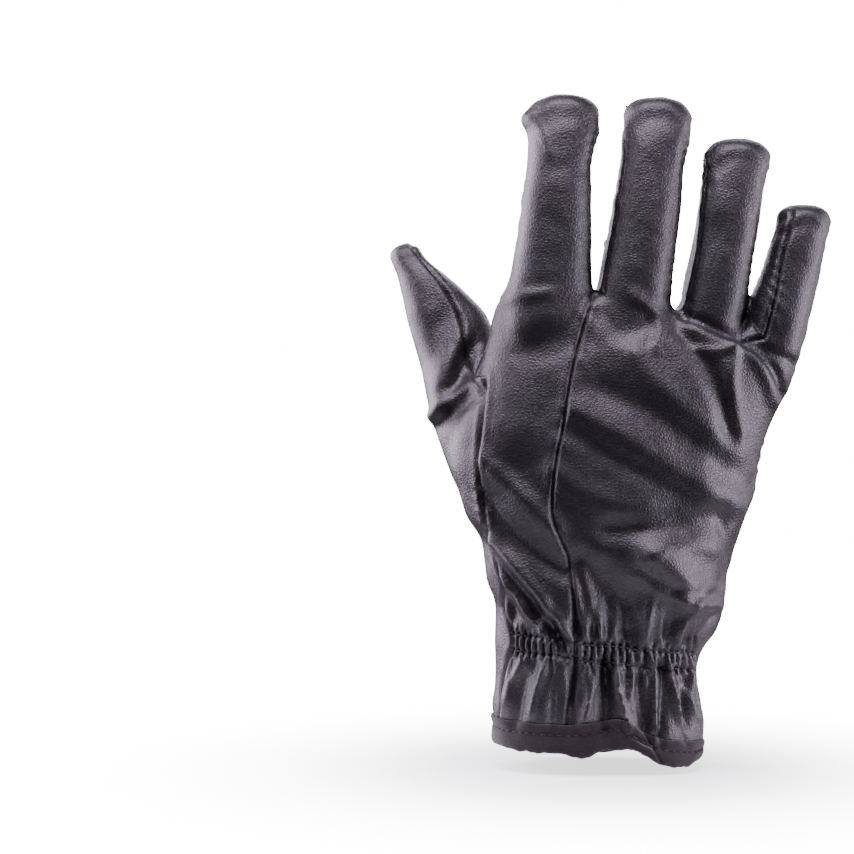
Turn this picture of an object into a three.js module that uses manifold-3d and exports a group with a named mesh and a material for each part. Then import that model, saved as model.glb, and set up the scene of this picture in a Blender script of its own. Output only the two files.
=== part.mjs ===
// A right-hand leather work glove with a padded palm, worn-shaped and hollow, in millimetres.
// +Z runs from the wrist to the fingertips, -Y faces the back of the hand, -X is the thumb's side.
// The origin is the middle of the wrist opening, where the hand goes in.
import * as THREE from 'three';
import { mergeVertices } from 'three/addons/utils/BufferGeometryUtils.js';
import Module from 'manifold-3d';

const wasm = await Module();
wasm.setup();

// Driving sizes
const leather = 1.8;            // wall of the glove, with what is sewn into it
const seamGap = 0.3;            // clearance between two panels that are sewn together
const padThickness = 4.2;       // the damping pad at its middle, under its own leather
const padEdge = 1.7;            // the same at its sewn edge
const hem = { wall: 1.3, fold: 4 };   // the binding's cloth, and its turn below the leather's edge
const cuffSlant = 0.12;         // how far the cuff and its elastic drop towards the little finger
const slantEnds = { from: 48, to: 95 };   // the slant fades out between these levels
const elastic = { low: 33.8, high: 41.4, left: -34, right: 37, reach: 17 };   // on the back only
const gathers = { pleat: 8.4, depth: 1.5, bite: 1.6 };
const fingerCurl = { from: 165, base: -3, rate: 0.0014 };
const strip = { halfWidth: 6, tipClear: 7, crotchDrop: 6 };   // the side strips between fingers
const overlap = 0.05;           // by which the halves of a cutting region are lapped before joining
const far = 150;                // past every side of the glove

// The hem binding on the back and on the palm: its upper and lower edge across the cuff.
const hemBack = [
  { x: -60, top: 14, low: 2.7 }, { x: -41, top: 14, low: 2.7 }, { x: -26, top: 10, low: 1.6 },
  { x: -12, top: 9.6, low: 1 }, { x: -4, top: 10.5, low: -0.4 }, { x: 5, top: 11.5, low: 2 },
  { x: 13, top: 10, low: 2.5 }, { x: 21, top: 6, low: -0.5 }, { x: 27, top: 4.5, low: -3.5 },
  { x: 34, top: 4, low: -4.5 }, { x: 41, top: 5.5, low: -1.5 }, { x: 60, top: 5.5, low: -1.5 },
];
const hemPalm = [
  { x: -60, top: 14, low: 2.7 }, { x: -41, top: 14, low: 2.7 }, { x: -24, top: 8.5, low: -2 },
  { x: 0, top: 7, low: -4.5 }, { x: 14, top: 7, low: -3.5 }, { x: 30, top: 7.5, low: -1.5 },
  { x: 41, top: 5.5, low: -1.5 }, { x: 60, top: 5.5, low: -1.5 },
];

// The hand from the hem to the knuckles: level, left and right edge, back and palm.
const handRows = [
  { z: 0, left: -39.6, right: 39.8, back: -26, palm: 26.5 },
  { z: 8, left: -39.8, right: 39.8, back: -26, palm: 26.5 },
  { z: 14, left: -40.6, right: 40.4, back: -26, palm: 26.3 },
  { z: 20, left: -39.5, right: 40, back: -25, palm: 25.5 },
  { z: 30, left: -39.3, right: 38.3, back: -24, palm: 25 },
  { z: 38, left: -39.8, right: 38, back: -23.5, palm: 25 },
  { z: 45, left: -39.5, right: 41, back: -24.5, palm: 26 },
  { z: 52, left: -39.3, right: 46, back: -26, palm: 27 },
  { z: 60, left: -42, right: 48.5, back: -27, palm: 28 },
  { z: 70, left: -43.6, right: 49.5, back: -27.5, palm: 29 },
  { z: 80, left: -44.5, right: 52.5, back: -28, palm: 30 },
  { z: 90, left: -50.3, right: 56.5, back: -28, palm: 30 },
  { z: 100, left: -53, right: 60.5, back: -28, palm: 30 },
  { z: 110, left: -56, right: 61.5, back: -27.5, palm: 29.5 },
  { z: 120, left: -56.5, right: 64, back: -27, palm: 28 },
  { z: 130, left: -53.5, right: 68.5, back: -26, palm: 26.5 },
  { z: 140, left: -48, right: 74, back: -24.5, palm: 24 },
  { z: 150, left: -44, right: 76, back: -22, palm: 21 },
  { z: 158, left: -42, right: 71, back: -19.5, palm: 18 },
  { z: 166, left: -40.5, right: 45, back: -17, palm: 15 },
  { z: 172, left: -39, right: 15, back: -15, palm: 13 },
];
const handTop = { outside: 175, inside: 169 };

// The fingers: level, middle, half width, half depth, and how far the palm side leans to the thumb.
const fingers = {
  index: {
    tip: 253.3,
    rows: [
      { z: 138, x: -22, wide: 11, deep: 9, lean: 0 },
      { z: 152, x: -20.3, wide: 16.5, deep: 13, lean: 0 },
      { z: 166, x: -19, wide: 17.8, deep: 14.2, lean: 0 },
      { z: 177, x: -18.3, wide: 16.3, deep: 13.5, lean: 0 },
      { z: 192, x: -17.1, wide: 14.8, deep: 13, lean: 0 },
      { z: 212, x: -15.8, wide: 13.5, deep: 12.5, lean: 0 },
      { z: 227, x: -14.4, wide: 12.4, deep: 12, lean: 0 },
      { z: 239, x: -12.6, wide: 13.4, deep: 11.5, lean: 0 },
      { z: 246, x: -12.6, wide: 12.8, deep: 10.4, lean: 0 },
    ],
  },
  middle: {
    tip: 252.4,
    rows: [
      { z: 138, x: 8, wide: 10, deep: 9, lean: 0 },
      { z: 152, x: 10.5, wide: 13.5, deep: 13, lean: 0 },
      { z: 166, x: 12.8, wide: 14.2, deep: 14, lean: 1 },
      { z: 177, x: 14.2, wide: 14, deep: 13.5, lean: 3 },
      { z: 194, x: 16.8, wide: 13.3, deep: 13, lean: 4 },
      { z: 211, x: 19.4, wide: 12.9, deep: 12.5, lean: 1.5 },
      { z: 224, x: 21.1, wide: 12.4, deep: 12, lean: 0 },
      { z: 235, x: 22.9, wide: 12.8, deep: 11.5, lean: 0 },
      { z: 244, x: 23.6, wide: 12.2, deep: 10.6, lean: 0 },
    ],
  },
  ring: {
    tip: 235.6,
    rows: [
      { z: 130, x: 35, wide: 9, deep: 9, lean: 0 },
      { z: 144, x: 38.5, wide: 12, deep: 12.5, lean: 0 },
      { z: 157, x: 41, wide: 12.6, deep: 13, lean: 1 },
      { z: 170, x: 44.2, wide: 12, deep: 12.8, lean: 3 },
      { z: 182, x: 46.5, wide: 11.8, deep: 12.5, lean: 4 },
      { z: 194, x: 48.8, wide: 11.7, deep: 12, lean: 3 },
      { z: 209, x: 50.9, wide: 12, deep: 11.5, lean: 0 },
      { z: 221, x: 53.1, wide: 12.3, deep: 11, lean: 0 },
      { z: 228, x: 54.2, wide: 12, deep: 10.2, lean: 0 },
    ],
  },
  little: {
    tip: 210,
    rows: [
      { z: 122, x: 55, wide: 6, deep: 7, lean: 0 },
      { z: 136, x: 60, wide: 10.5, deep: 11, lean: 0 },
      { z: 150, x: 64.7, wide: 12, deep: 12, lean: 0 },
      { z: 162, x: 67.8, wide: 12, deep: 12, lean: 1 },
      { z: 170, x: 69.9, wide: 12.2, deep: 11.8, lean: 1 },
      { z: 178, x: 72.2, wide: 11.8, deep: 11.2, lean: 1 },
      { z: 186, x: 74.6, wide: 11, deep: 10.8, lean: 0.5 },
      { z: 194, x: 76.8, wide: 10.4, deep: 10.3, lean: 0 },
      { z: 203, x: 79.2, wide: 9.7, deep: 9.6, lean: 0 },
    ],
  },
};

// The thumb: level, left and right edge, middle depth and half depth.
const thumb = { tip: 197.4, free: 144, allowance: 0.5 };   // it stands free above that level
const thumbRows = [
  { z: 84, left: -43, right: -20, y: 3, deep: 13 },
  { z: 100, left: -53, right: -20, y: 5, deep: 17 },
  { z: 115, left: -59.4, right: -24, y: 8, deep: 18 },
  { z: 131, left: -64.4, right: -30, y: 11, deep: 18 },
  { z: 146, left: -68, right: -36, y: 16, deep: 16 },
  { z: 154, left: -70, right: -38, y: 19, deep: 14.5 },
  { z: 162, left: -72.2, right: -39.5, y: 21.5, deep: 13.5 },
  { z: 170, left: -74.2, right: -42.5, y: 23.5, deep: 12.8 },
  { z: 177, left: -76, right: -49, y: 25.5, deep: 12 },
  { z: 185, left: -77.8, right: -58, y: 27.5, deep: 10.8 },
  { z: 192, left: -81, right: -67, y: 29.5, deep: 8.5 },
];

// Where the panels are sewn together, seen from the back or from the palm.
const thumbSeamBack = [
  { z: -far, x: -38.5 }, { z: 0, x: -38.5 }, { z: 13, x: -38.1 }, { z: 26, x: -37 },
  { z: 36, x: -34.7 }, { z: 44, x: -32.7 }, { z: 55, x: -36.2 }, { z: 64, x: -37 },
  { z: 77, x: -40.8 }, { z: 96, x: -44.9 }, { z: 114, x: -46 }, { z: 127, x: -45 },
  { z: 143, x: -43 },
];
const thumbSeamPalm = [
  { z: -far, x: -32.3 }, { z: 4, x: -32.3 }, { z: 50, x: -28.5 }, { z: 73, x: -24.5 },
  { z: 100, x: -22 }, { z: 134, x: -19 }, { z: 144, x: -30 }, { z: 150, x: -40 },
];
const indexSeam = [
  { z: -far, x: -12 }, { z: 10, x: -11.9 }, { z: 24, x: -9.6 }, { z: 35, x: -8.5 },
  { z: 50, x: -8.5 }, { z: 62, x: -9.6 }, { z: 74, x: -11.6 }, { z: 81, x: -14.2 },
  { z: 90, x: -17.3 }, { z: 102, x: -16.9 }, { z: 114, x: -15.4 }, { z: 127, x: -12.7 },
  { z: 142, x: -10.4 }, { z: 156, x: -7.3 }, { z: 168, x: -3.9 }, { z: 175, x: -1.6 },
  { z: 190, x: -0.8 }, { z: 215, x: 2 }, { z: 260, x: 4.5 },
];
const thumbInnerSeam = [
  { z: 138, x: -40 }, { z: 144, x: -44.3 }, { z: 157, x: -49.3 }, { z: 166, x: -52 },
  { z: 174, x: -56.2 }, { z: 184, x: -63.9 }, { z: 193, x: -72.4 }, { z: 205, x: -82 },
];
const innerSeamLean = { from: 12, rate: 0.25 };   // the seam moves to the right over the thumb's depth
const padOutline = [
  [-24, 52.5], [-22.3, 73], [-19.8, 100], [-16.8, 134], [-27, 144], [-35.5, 150], [-36, 160],
  [-22, 166], [-7.6, 166.5], [10, 165], [24, 163.5], [38, 158], [48, 154.5], [60, 152], [71, 146],
  [65, 125], [60, 100], [50.5, 75], [45, 56], [40, 51],
];

// Folds of the leather: a ridge is positive, a valley negative. Bow bends the fold to its left.
const backFolds = [
  { x: 24, z: 154, toX: 54, toZ: 118, bow: 2, wide: 5, high: 2.0 },
  { x: -3, z: 143, toX: 62, toZ: 101, bow: -2, wide: 6, high: -2.2 },
  { x: -10, z: 133, toX: 51, toZ: 104, bow: 0, wide: 5, high: 1.3 },
  { x: -10, z: 119, toX: 36, toZ: 95, bow: 0, wide: 5, high: -1.5 },
  { x: -14, z: 103, toX: 46, toZ: 94, bow: -3, wide: 4, high: 1.4 },
  { x: 16, z: 88, toX: 52, toZ: 92, bow: 2, wide: 3.2, high: -2.2 },
  { x: 22, z: 76, toX: 45, toZ: 73, bow: 0, wide: 11, high: 3.2 },
  { x: -6, z: 72, toX: 17, toZ: 46, bow: 0, wide: 8, high: -2.6 },
  { x: 17, z: 72, toX: 40, toZ: 58, bow: -3, wide: 3.4, high: 1.4 },
  { x: 36, z: 58, toX: 29, toZ: 43, bow: 0, wide: 5, high: -2.6 },
  { x: 46, z: 57, toX: 36, toZ: 43, bow: 0, wide: 3.4, high: 1.4 },
  { x: -43, z: 117, toX: -17, toZ: 89, bow: 0, wide: 4, high: 1.8 },
  { x: -43, z: 102, toX: -10, toZ: 71, bow: -3, wide: 5, high: -2.2 },
  { x: -39, z: 79, toX: -8, toZ: 45, bow: 2, wide: 3.4, high: 1.8 },
  { x: -37, z: 72, toX: -16, toZ: 45, bow: 0, wide: 3.6, high: -1.8 },
  { x: 31, z: 169, toX: 54, toZ: 156, bow: 3, wide: 3.2, high: -1.8 },
  { x: 36, z: 160, toX: 51, toZ: 131, bow: 4, wide: 4, high: -1.8 },
  { x: -2, z: 172, toX: 25, toZ: 162, bow: -7, wide: 3.6, high: -1.6 },
  { x: 57, z: 155, toX: 73, toZ: 137, bow: 3, wide: 3.4, high: -1.8 },
];
const palmFolds = [
  { x: 30, z: 43, toX: -8, toZ: 43, bow: 6, wide: 4, high: 1.8 },
  { x: 18, z: 8, toX: -24, toZ: 46, bow: -6, wide: 6, high: 2.4 },
  { x: 34, z: 30, toX: 12, toZ: 33, bow: 2, wide: 5, high: -2 },
  { x: 6, z: 14, toX: -18, toZ: 30, bow: 0, wide: 7, high: -2.2 },
];
const thumbFolds = [
  { x: -58, z: 136, toX: -43, toZ: 144, bow: 0, wide: 3.6, high: -2.2 },
  { x: -61, z: 128, toX: -45, toZ: 139, bow: 0, wide: 3.2, high: 1.4 },
];
const foldSide = { from: 0.05, full: 0.5, spread: 0.25 };   // folds die out towards the glove's edges
const inside = { across: 3, up: 5 };   // the inside is smooth: it clears every valley this near
const indexCorner = { z: 243.5, reach: 4.2, spread: 3.6, sharpness: 6 };   // of the fingertip's seam
const roundness = 2.45;         // of the tubes' sections, between an ellipse at 2 and a box
const tipRoundness = 2.6;       // of the fingertips, seen from the front

const clamp = THREE.MathUtils.clamp;
const smooth = (low, high, value) => THREE.MathUtils.smoothstep(value, low, high);

// A named column of a table at any level, on a smooth curve through the rows.
function along(rows, column, level) {
  const last = rows.length - 1;
  if (level <= rows[0].z) return rows[0][column];
  if (level >= rows[last].z) return rows[last][column];
  let i = 0;
  while (rows[i + 1].z < level) i += 1;
  const slope = (j) => {
    const low = rows[Math.max(j - 1, 0)];
    const high = rows[Math.min(j + 1, last)];
    return (high[column] - low[column]) / (high.z - low.z);
  };
  const span = rows[i + 1].z - rows[i].z;
  const t = (level - rows[i].z) / span;
  const ease = t * t * (3 - 2 * t);
  return rows[i][column] * (1 - ease) + rows[i + 1][column] * ease
    + span * t * (1 - t) * ((1 - t) * slope(i) - t * slope(i + 1));
}

// How far one table of folds lifts the leather at a place.
function foldHeight(folds, x, z) {
  let height = 0;
  for (const f of folds) {
    const dx = f.toX - f.x;
    const dz = f.toZ - f.z;
    const length = Math.hypot(dx, dz);
    const run = ((x - f.x) * dx + (z - f.z) * dz) / length;
    const t = clamp(run / length, 0, 1);
    const side = ((x - f.x) * -dz + (z - f.z) * dx) / length - 4 * f.bow * t * (1 - t);
    const past = run < 0 ? -run : Math.max(run - length, 0);
    height += f.high * Math.exp(-(side * side) / (f.wide * f.wide) - (past * past) / (9 * f.wide));
  }
  return height;
}

// The gathers of the elastic: shirred in its band, and flaring out above and below it.
function gather(x, z) {
  const away = z > elastic.high ? z - elastic.high : Math.max(elastic.low - z, 0);
  const fade = Math.exp(-((away / elastic.reach) ** 2));
  const width = gathers.pleat * (1 + 0.5 * Math.min(away / elastic.reach, 1));
  const phase = (2 * Math.PI * x) / width + 1.3 * Math.sin(x / 7) + 0.8 * Math.sin(x / 3.1 + 2);
  const edge = smooth(elastic.left - 4, elastic.left + 4, x)
    * (1 - smooth(elastic.right - 3, elastic.right + 3, x));
  return edge * fade * (gathers.depth * Math.cos(phase) - gathers.bite * Math.exp(-away));
}

const slantAt = (level) => cuffSlant * (1 - smooth(slantEnds.from, slantEnds.to, level));
const curlAt = (level) => fingerCurl.base + fingerCurl.rate * Math.max(level - fingerCurl.from, 0) ** 2;

// How far the leather stands out from the smooth hand, and how far its inside may.
function liftAt(onBack, x, level) {
  const z = level - slantAt(level) * x;
  return onBack ? foldHeight(backFolds, x, z) + gather(x, level) : foldHeight(palmFolds, x, z);
}

function insideLiftAt(onBack, x, level) {
  let lowest = 0;
  for (const across of [-1, -0.5, 0, 0.5, 1]) {
    for (const up of [-1, -0.5, 0, 0.5, 1]) {
      lowest = Math.min(lowest, liftAt(onBack, x + across * inside.across, level + up * inside.up));
    }
  }
  return lowest;
}

// A closed tube: one ring for each level, with both ends closed to a point.
function loft(rings) {
  const points = [];
  const faces = [];
  const around = rings[0].length;
  const middle = (ring) => ring.reduce((sum, p) => sum.map((v, k) => v + p[k] / around), [0, 0, 0]);
  rings.forEach((ring) => ring.forEach((p) => points.push(...p)));
  points.push(...middle(rings[0]), ...middle(rings[rings.length - 1]));
  const bottom = rings.length * around;
  for (let i = 0; i < around; i += 1) {
    const j = (i + 1) % around;
    const top = (rings.length - 1) * around;
    faces.push(bottom, j, i, bottom + 1, top + i, top + j);
    for (let k = 0; k < rings.length - 1; k += 1) {
      const low = k * around;
      const high = low + around;
      faces.push(low + i, low + j, high + j, low + i, high + j, high + i);
    }
  }
  const geometry = new THREE.BufferGeometry();
  geometry.setAttribute('position', new THREE.Float32BufferAttribute(points, 3));
  geometry.setIndex(faces);
  return solidOf(geometry);
}

function solidOf(geometry) {
  geometry.deleteAttribute('normal');
  geometry.deleteAttribute('uv');
  const merged = mergeVertices(geometry, 1e-4);
  return new wasm.Manifold(new wasm.Mesh({
    numProp: 3,
    vertProperties: merged.attributes.position.array,
    triVerts: new Uint32Array(merged.index.array),
  }));
}

const bulge = (value) => Math.sign(value) * Math.abs(value) ** (2 / roundness);

// Angles round a flattened tube at equal steps along its girth, finer on its back by the weight.
function anglesAround(count, flatness, backWeight) {
  const fine = 720;
  const at = (i) => {
    const angle = (2 * Math.PI * i) / fine;
    return [flatness * bulge(Math.cos(angle)), bulge(Math.sin(angle))];
  };
  const run = [0];
  for (let i = 0; i < fine; i += 1) {
    const [x, y] = at(i);
    const [nextX, nextY] = at(i + 1);
    run.push(run[i] + Math.hypot(nextX - x, nextY - y) * (i < fine / 2 ? 1 : backWeight));
  }
  return Array.from({ length: count }, (_, k) => {
    const place = (run[fine] * k) / count;
    return (2 * Math.PI * run.findIndex((length) => length >= place)) / fine;
  });
}

const outerLevels = [-16, 8, 18, 27, 37.5, 46, 54, 62, 70, 78, 86, 94, 102, 111, 120, 129, 138, 147,
  155, 163, 170];
const innerLevels = [-30, 8, 27, 37.5, 50, 66, 82, 98, 114, 130, 145, 157, 165];

// The hand, grown outwards by a distance, or shrunk where that is negative.
function handTube(grow, { isInside = false, padded = 0 } = {}) {
  const angles = isInside ? anglesAround(24, 1.7, 1.3) : anglesAround(43, 1.7, 1.7);
  const levels = isInside ? innerLevels : outerLevels;
  const lift = isInside ? insideLiftAt : liftAt;
  const ring = (level, shrink, rise) => angles.map((angle) => {
    const [across, through] = [Math.cos(angle), Math.sin(angle)];
    const left = along(handRows, 'left', level) - grow;
    const right = along(handRows, 'right', level) + grow;
    const onBack = through < 0;
    const palm = along(handRows, 'palm', level) + padded * smooth(0, 0.7, through);
    const depth = grow + (onBack ? -along(handRows, 'back', level) : palm);
    const x = (left + right) / 2 + shrink * ((right - left) / 2) * bulge(across);
    const out = lift(onBack, x, level + rise) * smooth(foldSide.from, foldSide.full, Math.abs(through));
    const y = shrink * depth * bulge(through) + (onBack ? -out : out);
    return [x + out * foldSide.spread * across, y, level + rise - slantAt(level) * x];
  });
  const rings = levels.map((level) => ring(level, 1, 0));
  const shoulder = levels[levels.length - 1];
  const top = isInside ? handTop.inside : handTop.outside + grow;
  for (const part of [0.6, 0.92]) {
    rings.push(ring(shoulder, Math.sqrt(1 - part * part), (top - shoulder) * part));
  }
  return loft(rings);
}

function fingerTube(finger, grow, { around = 16, step = 15 } = {}) {
  const { rows, tip } = finger;
  const shoulder = rows[rows.length - 1].z;
  const angles = anglesAround(around, 1, 1);
  const ring = (level, shrink, lift) => angles.map((angle) => {
    const wide = (along(rows, 'wide', level) + grow) * shrink;
    const deep = (along(rows, 'deep', level) + grow) * shrink;
    const lean = along(rows, 'lean', level) * Math.max(Math.sin(angle), 0);
    let x = along(rows, 'x', level) + wide * bulge(Math.cos(angle)) - lean;
    const y = curlAt(level + lift) + deep * bulge(Math.sin(angle));
    const z = level + lift;
    if (finger === fingers.index) {
      const near = Math.exp(-(((z - indexCorner.z) / indexCorner.spread) ** 2));
      x -= indexCorner.reach * near * Math.max(-Math.cos(angle), 0) ** indexCorner.sharpness;
    }
    return [x, y, z];
  });
  const rings = [];
  const count = Math.round((shoulder - rows[0].z) / step);
  for (let i = 0; i <= count; i += 1) {
    rings.push(ring(rows[0].z + ((shoulder - rows[0].z) * i) / count, 1, 0));
  }
  const dome = tip + grow - shoulder;
  for (const part of [0.45, 0.75, 0.95]) {
    rings.push(ring(shoulder, (1 - part ** tipRoundness) ** (1 / tipRoundness), dome * part));
  }
  return loft(rings);
}

function thumbTube(grow, { around = 16, step = 10, folded = true } = {}) {
  const shoulder = thumbRows[thumbRows.length - 1].z;
  const angles = anglesAround(around, 1, 1);
  const ring = (level, shrink, lift) => angles.map((angle) => {
    const left = along(thumbRows, 'left', level) - grow;
    const right = along(thumbRows, 'right', level) + grow;
    const x = (left + right) / 2 + shrink * ((right - left) / 2) * bulge(Math.cos(angle));
    const depth = (along(thumbRows, 'deep', level) + grow) * shrink;
    let y = along(thumbRows, 'y', level) + depth * bulge(Math.sin(angle));
    const z = level + lift;
    if (folded && Math.sin(angle) < 0) {
      y -= foldHeight(thumbFolds, x, z) * smooth(foldSide.from, foldSide.full, -Math.sin(angle));
    }
    return [x, y, z];
  });
  const rings = [];
  const count = Math.round((shoulder - thumbRows[0].z) / step);
  for (let i = 0; i <= count; i += 1) {
    rings.push(ring(thumbRows[0].z + ((shoulder - thumbRows[0].z) * i) / count, 1, 0));
  }
  const dome = thumb.tip + grow - shoulder;
  for (const part of [0.5, 0.88]) rings.push(ring(shoulder, Math.sqrt(1 - part * part), dome * part));
  return loft(rings);
}

// A region seen from the front, as deep through the glove as asked.
function regionFromFront(outline, fromY = -far, toY = far) {
  const shape = new THREE.Shape(outline.map(([x, z]) => new THREE.Vector2(x, z)));
  const geometry = new THREE.ExtrudeGeometry(shape, { depth: toY - fromY, bevelEnabled: false });
  geometry.rotateX(Math.PI / 2);
  geometry.translate(0, toY, 0);
  return geometry;
}

// A region seen from the side.
function regionFromSide(outline, fromX = -far, toX = far) {
  const shape = new THREE.Shape(outline.map(([y, z]) => new THREE.Vector2(y, z)));
  const geometry = new THREE.ExtrudeGeometry(shape, { depth: toX - fromX, bevelEnabled: false });
  geometry.applyMatrix4(new THREE.Matrix4().set(0, 0, 1, fromX, 1, 0, 0, 0, 0, 1, 0, 0, 0, 0, 0, 1));
  return geometry;
}

// Everything to the left of a seam, less a shift.
function leftOf(rows, shift) {
  const last = rows[rows.length - 1];
  const edge = [...rows.map((row) => [row.x - shift, row.z]), [last.x - shift, 2 * far]];
  return solidOf(regionFromFront([[-far, -far], ...edge, [-far, 2 * far]]));
}

// The depth where the back ends and the palm begins, on the hand and up the fingers.
const sideLevels = [-far, 0, 60, 120, 150, 165, 180, 195, 210, 225, 240, 260, 2 * far];
const sideY = (level) => smooth(120, 150, level) * curlAt(level);

function backHalf(shift) {
  const edge = sideLevels.map((z) => [sideY(z) - shift, z]);
  return solidOf(regionFromSide([[-far, -far], ...edge, [-far, 2 * far]]));
}

function palmHalf(shift) {
  const edge = sideLevels.map((z) => [sideY(z) + shift, z]);
  return solidOf(regionFromSide([[far, 2 * far], ...edge.reverse(), [far, -far]]));
}

const aboveLevel = (level) => solidOf(
  regionFromFront([[-far, level], [far, level], [far, 2 * far], [-far, 2 * far]]),
);
const belowLevel = (level) => solidOf(
  regionFromFront([[-far, -far], [far, -far], [far, level], [-far, level]]),
);

const order = ['index', 'middle', 'ring', 'little'];
const crotchLevels = [174, 167.5, 157];   // between the index and the middle finger, and so on

const outerHull = (grow) => [
  handTube(grow), ...order.map((name) => fingerTube(fingers[name], grow)), thumbTube(grow),
].reduce((a, b) => a.add(b));
const innerHull = [
  handTube(-leather, { isInside: true }),
  ...order.map((name) => fingerTube(fingers[name], -leather, { around: 8, step: 22 })),
  thumbTube(-leather, { around: 12, step: 18, folded: false }),
].reduce((a, b) => a.add(b));

// Below a line across the cuff, which differs between the back and the palm.
function belowLine(column, shift) {
  const half = (rows, fromY, toY) => solidOf(regionFromFront([
    [-far, -far], [far, -far], [far, rows[rows.length - 1][column] + shift],
    ...rows.map((row) => [row.x, row[column] + shift]).reverse(),
    [-far, rows[0][column] + shift],
  ], fromY, toY));
  return half(hemBack, -far, overlap).add(half(hemPalm, -overlap, far));
}

const shell = outerHull(0).subtract(innerHull).subtract(belowLine('low', hem.fold));

// The thumb's two panels wrap from the seam on the back round the side to the seam on the palm.
function thumbRegion(shift) {
  const low = leftOf(thumbSeamBack, -shift).intersect(backHalf(-overlap))
    .add(leftOf(thumbSeamPalm, -shift).intersect(palmHalf(0)))
    .intersect(belowLevel(thumb.free + shift));
  const tube = thumbTube(thumb.allowance + shift, { folded: false });
  return low.add(tube.intersect(aboveLevel(thumb.free - 1)));
}

// The strips along the facing sides of two fingers, joined at the crotch.
function stripRegion(gapIndex, grow) {
  const [left, right] = [order[gapIndex], order[gapIndex + 1]].map((name) => fingers[name]);
  const low = crotchLevels[gapIndex] - strip.crotchDrop - grow;
  const gapAt = (z) => (along(left.rows, 'x', z) + along(right.rows, 'x', z)) / 2;
  const half = (finger, toRight) => {
    const high = finger.rows[finger.rows.length - 1].z - strip.tipClear + grow;
    const levels = [0, 0.2, 0.5, 0.7, 1].map((share) => low + (high - low) * share);
    const axis = levels.map((z) => [along(finger.rows, 'x', z), z]);
    const gap = levels.map((z) => [gapAt(z) + (toRight ? overlap : -overlap), z]);
    return solidOf(regionFromFront(toRight ? [...gap.reverse(), ...axis] : [...axis.reverse(), ...gap]));
  };
  const halfWidth = strip.halfWidth + grow;
  const slab = solidOf(regionFromSide([
    ...sideLevels.map((z) => [sideY(z) + halfWidth, z]),
    ...sideLevels.map((z) => [sideY(z) - halfWidth, z]).reverse(),
  ]));
  return half(left, true).add(half(right, false)).intersect(slab);
}

// The thumb's panel that faces the index finger, behind a seam that leans over the thumb's depth.
function innerThumbRegion(shift) {
  const edge = thumbInnerSeam.map((row) => [row.x - shift, row.z - shift]);
  const [low, high] = [edge[0], edge[edge.length - 1]];
  const geometry = regionFromFront([...edge, [0, high[1]], [0, low[1]]].reverse());
  const position = geometry.attributes.position;
  for (let i = 0; i < position.count; i += 1) {
    const y = position.getY(i);
    position.setX(i, position.getX(i) + innerSeamLean.rate * (y - innerSeamLean.from));
  }
  return solidOf(geometry);
}

// The pad lies on the palm, thick in the middle and thin at its sewn edge.
function palmPad() {
  const region = solidOf(regionFromFront(padOutline, 0, far));
  const cushion = handTube(padEdge, { padded: padThickness - padEdge });
  return cushion.intersect(region).subtract(outerHull(seamGap));
}

// The hem binding: a folded band that takes the leather's edge in its slot.
function cuffBinding() {
  const band = belowLine('top', 0).subtract(belowLine('low', 0));
  const cloth = seamGap + hem.wall;
  const hollow = handTube(-leather - cloth, { isInside: true });
  const slot = handTube(seamGap).subtract(handTube(-leather - seamGap, { isInside: true }))
    .subtract(belowLine('low', hem.fold - seamGap));
  return handTube(cloth).subtract(hollow).intersect(band).subtract(slot);
}

const halfGap = seamGap / 2;
const thumbPanels = shell.intersect(thumbRegion(0));
const rest = shell.subtract(thumbRegion(seamGap));
const strips = [0, 1, 2].map((i) => rest.intersect(stripRegion(i, 0)));
const hand = [0, 1, 2].reduce((solid, i) => solid.subtract(stripRegion(i, seamGap)), rest);
const backSide = hand.intersect(backHalf(halfGap));

const leatherLook = { color: 0x2b2a30, roughness: 0.5, metalness: 0 };
const bindingLook = { color: 0x231e20, roughness: 0.95, metalness: 0 };
const glove = new THREE.Group();

function addPiece(name, solid, look) {
  const mesh = solid.getMesh();
  const geometry = new THREE.BufferGeometry();
  geometry.setAttribute('position', new THREE.BufferAttribute(mesh.vertProperties, 3));
  geometry.setIndex(new THREE.BufferAttribute(mesh.triVerts, 1));
  const piece = new THREE.Mesh(geometry, new THREE.MeshStandardMaterial(look));
  piece.name = name;
  glove.add(piece);
}

addPiece('thumb_panel', thumbPanels.subtract(innerThumbRegion(seamGap)), leatherLook);
addPiece('thumb_inner_panel', thumbPanels.intersect(innerThumbRegion(0)), leatherLook);
addPiece('index_panel', backSide.intersect(leftOf(indexSeam, halfGap)), leatherLook);
addPiece('back_panel', backSide.subtract(leftOf(indexSeam, -halfGap)), leatherLook);
addPiece('palm_panel', hand.intersect(palmHalf(halfGap)), leatherLook);
addPiece('palm_pad', palmPad(), leatherLook);
addPiece('finger_strip_index_middle', strips[0], leatherLook);
addPiece('finger_strip_middle_ring', strips[1], leatherLook);
addPiece('finger_strip_ring_little', strips[2], leatherLook);
addPiece('cuff_binding', cuffBinding(), bindingLook);

export default glove;
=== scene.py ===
from math import pi, radians
import bpy
import numpy as np
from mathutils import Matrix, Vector, noise
from mathutils.bvhtree import BVHTree
from mathutils.kdtree import KDTree


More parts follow.
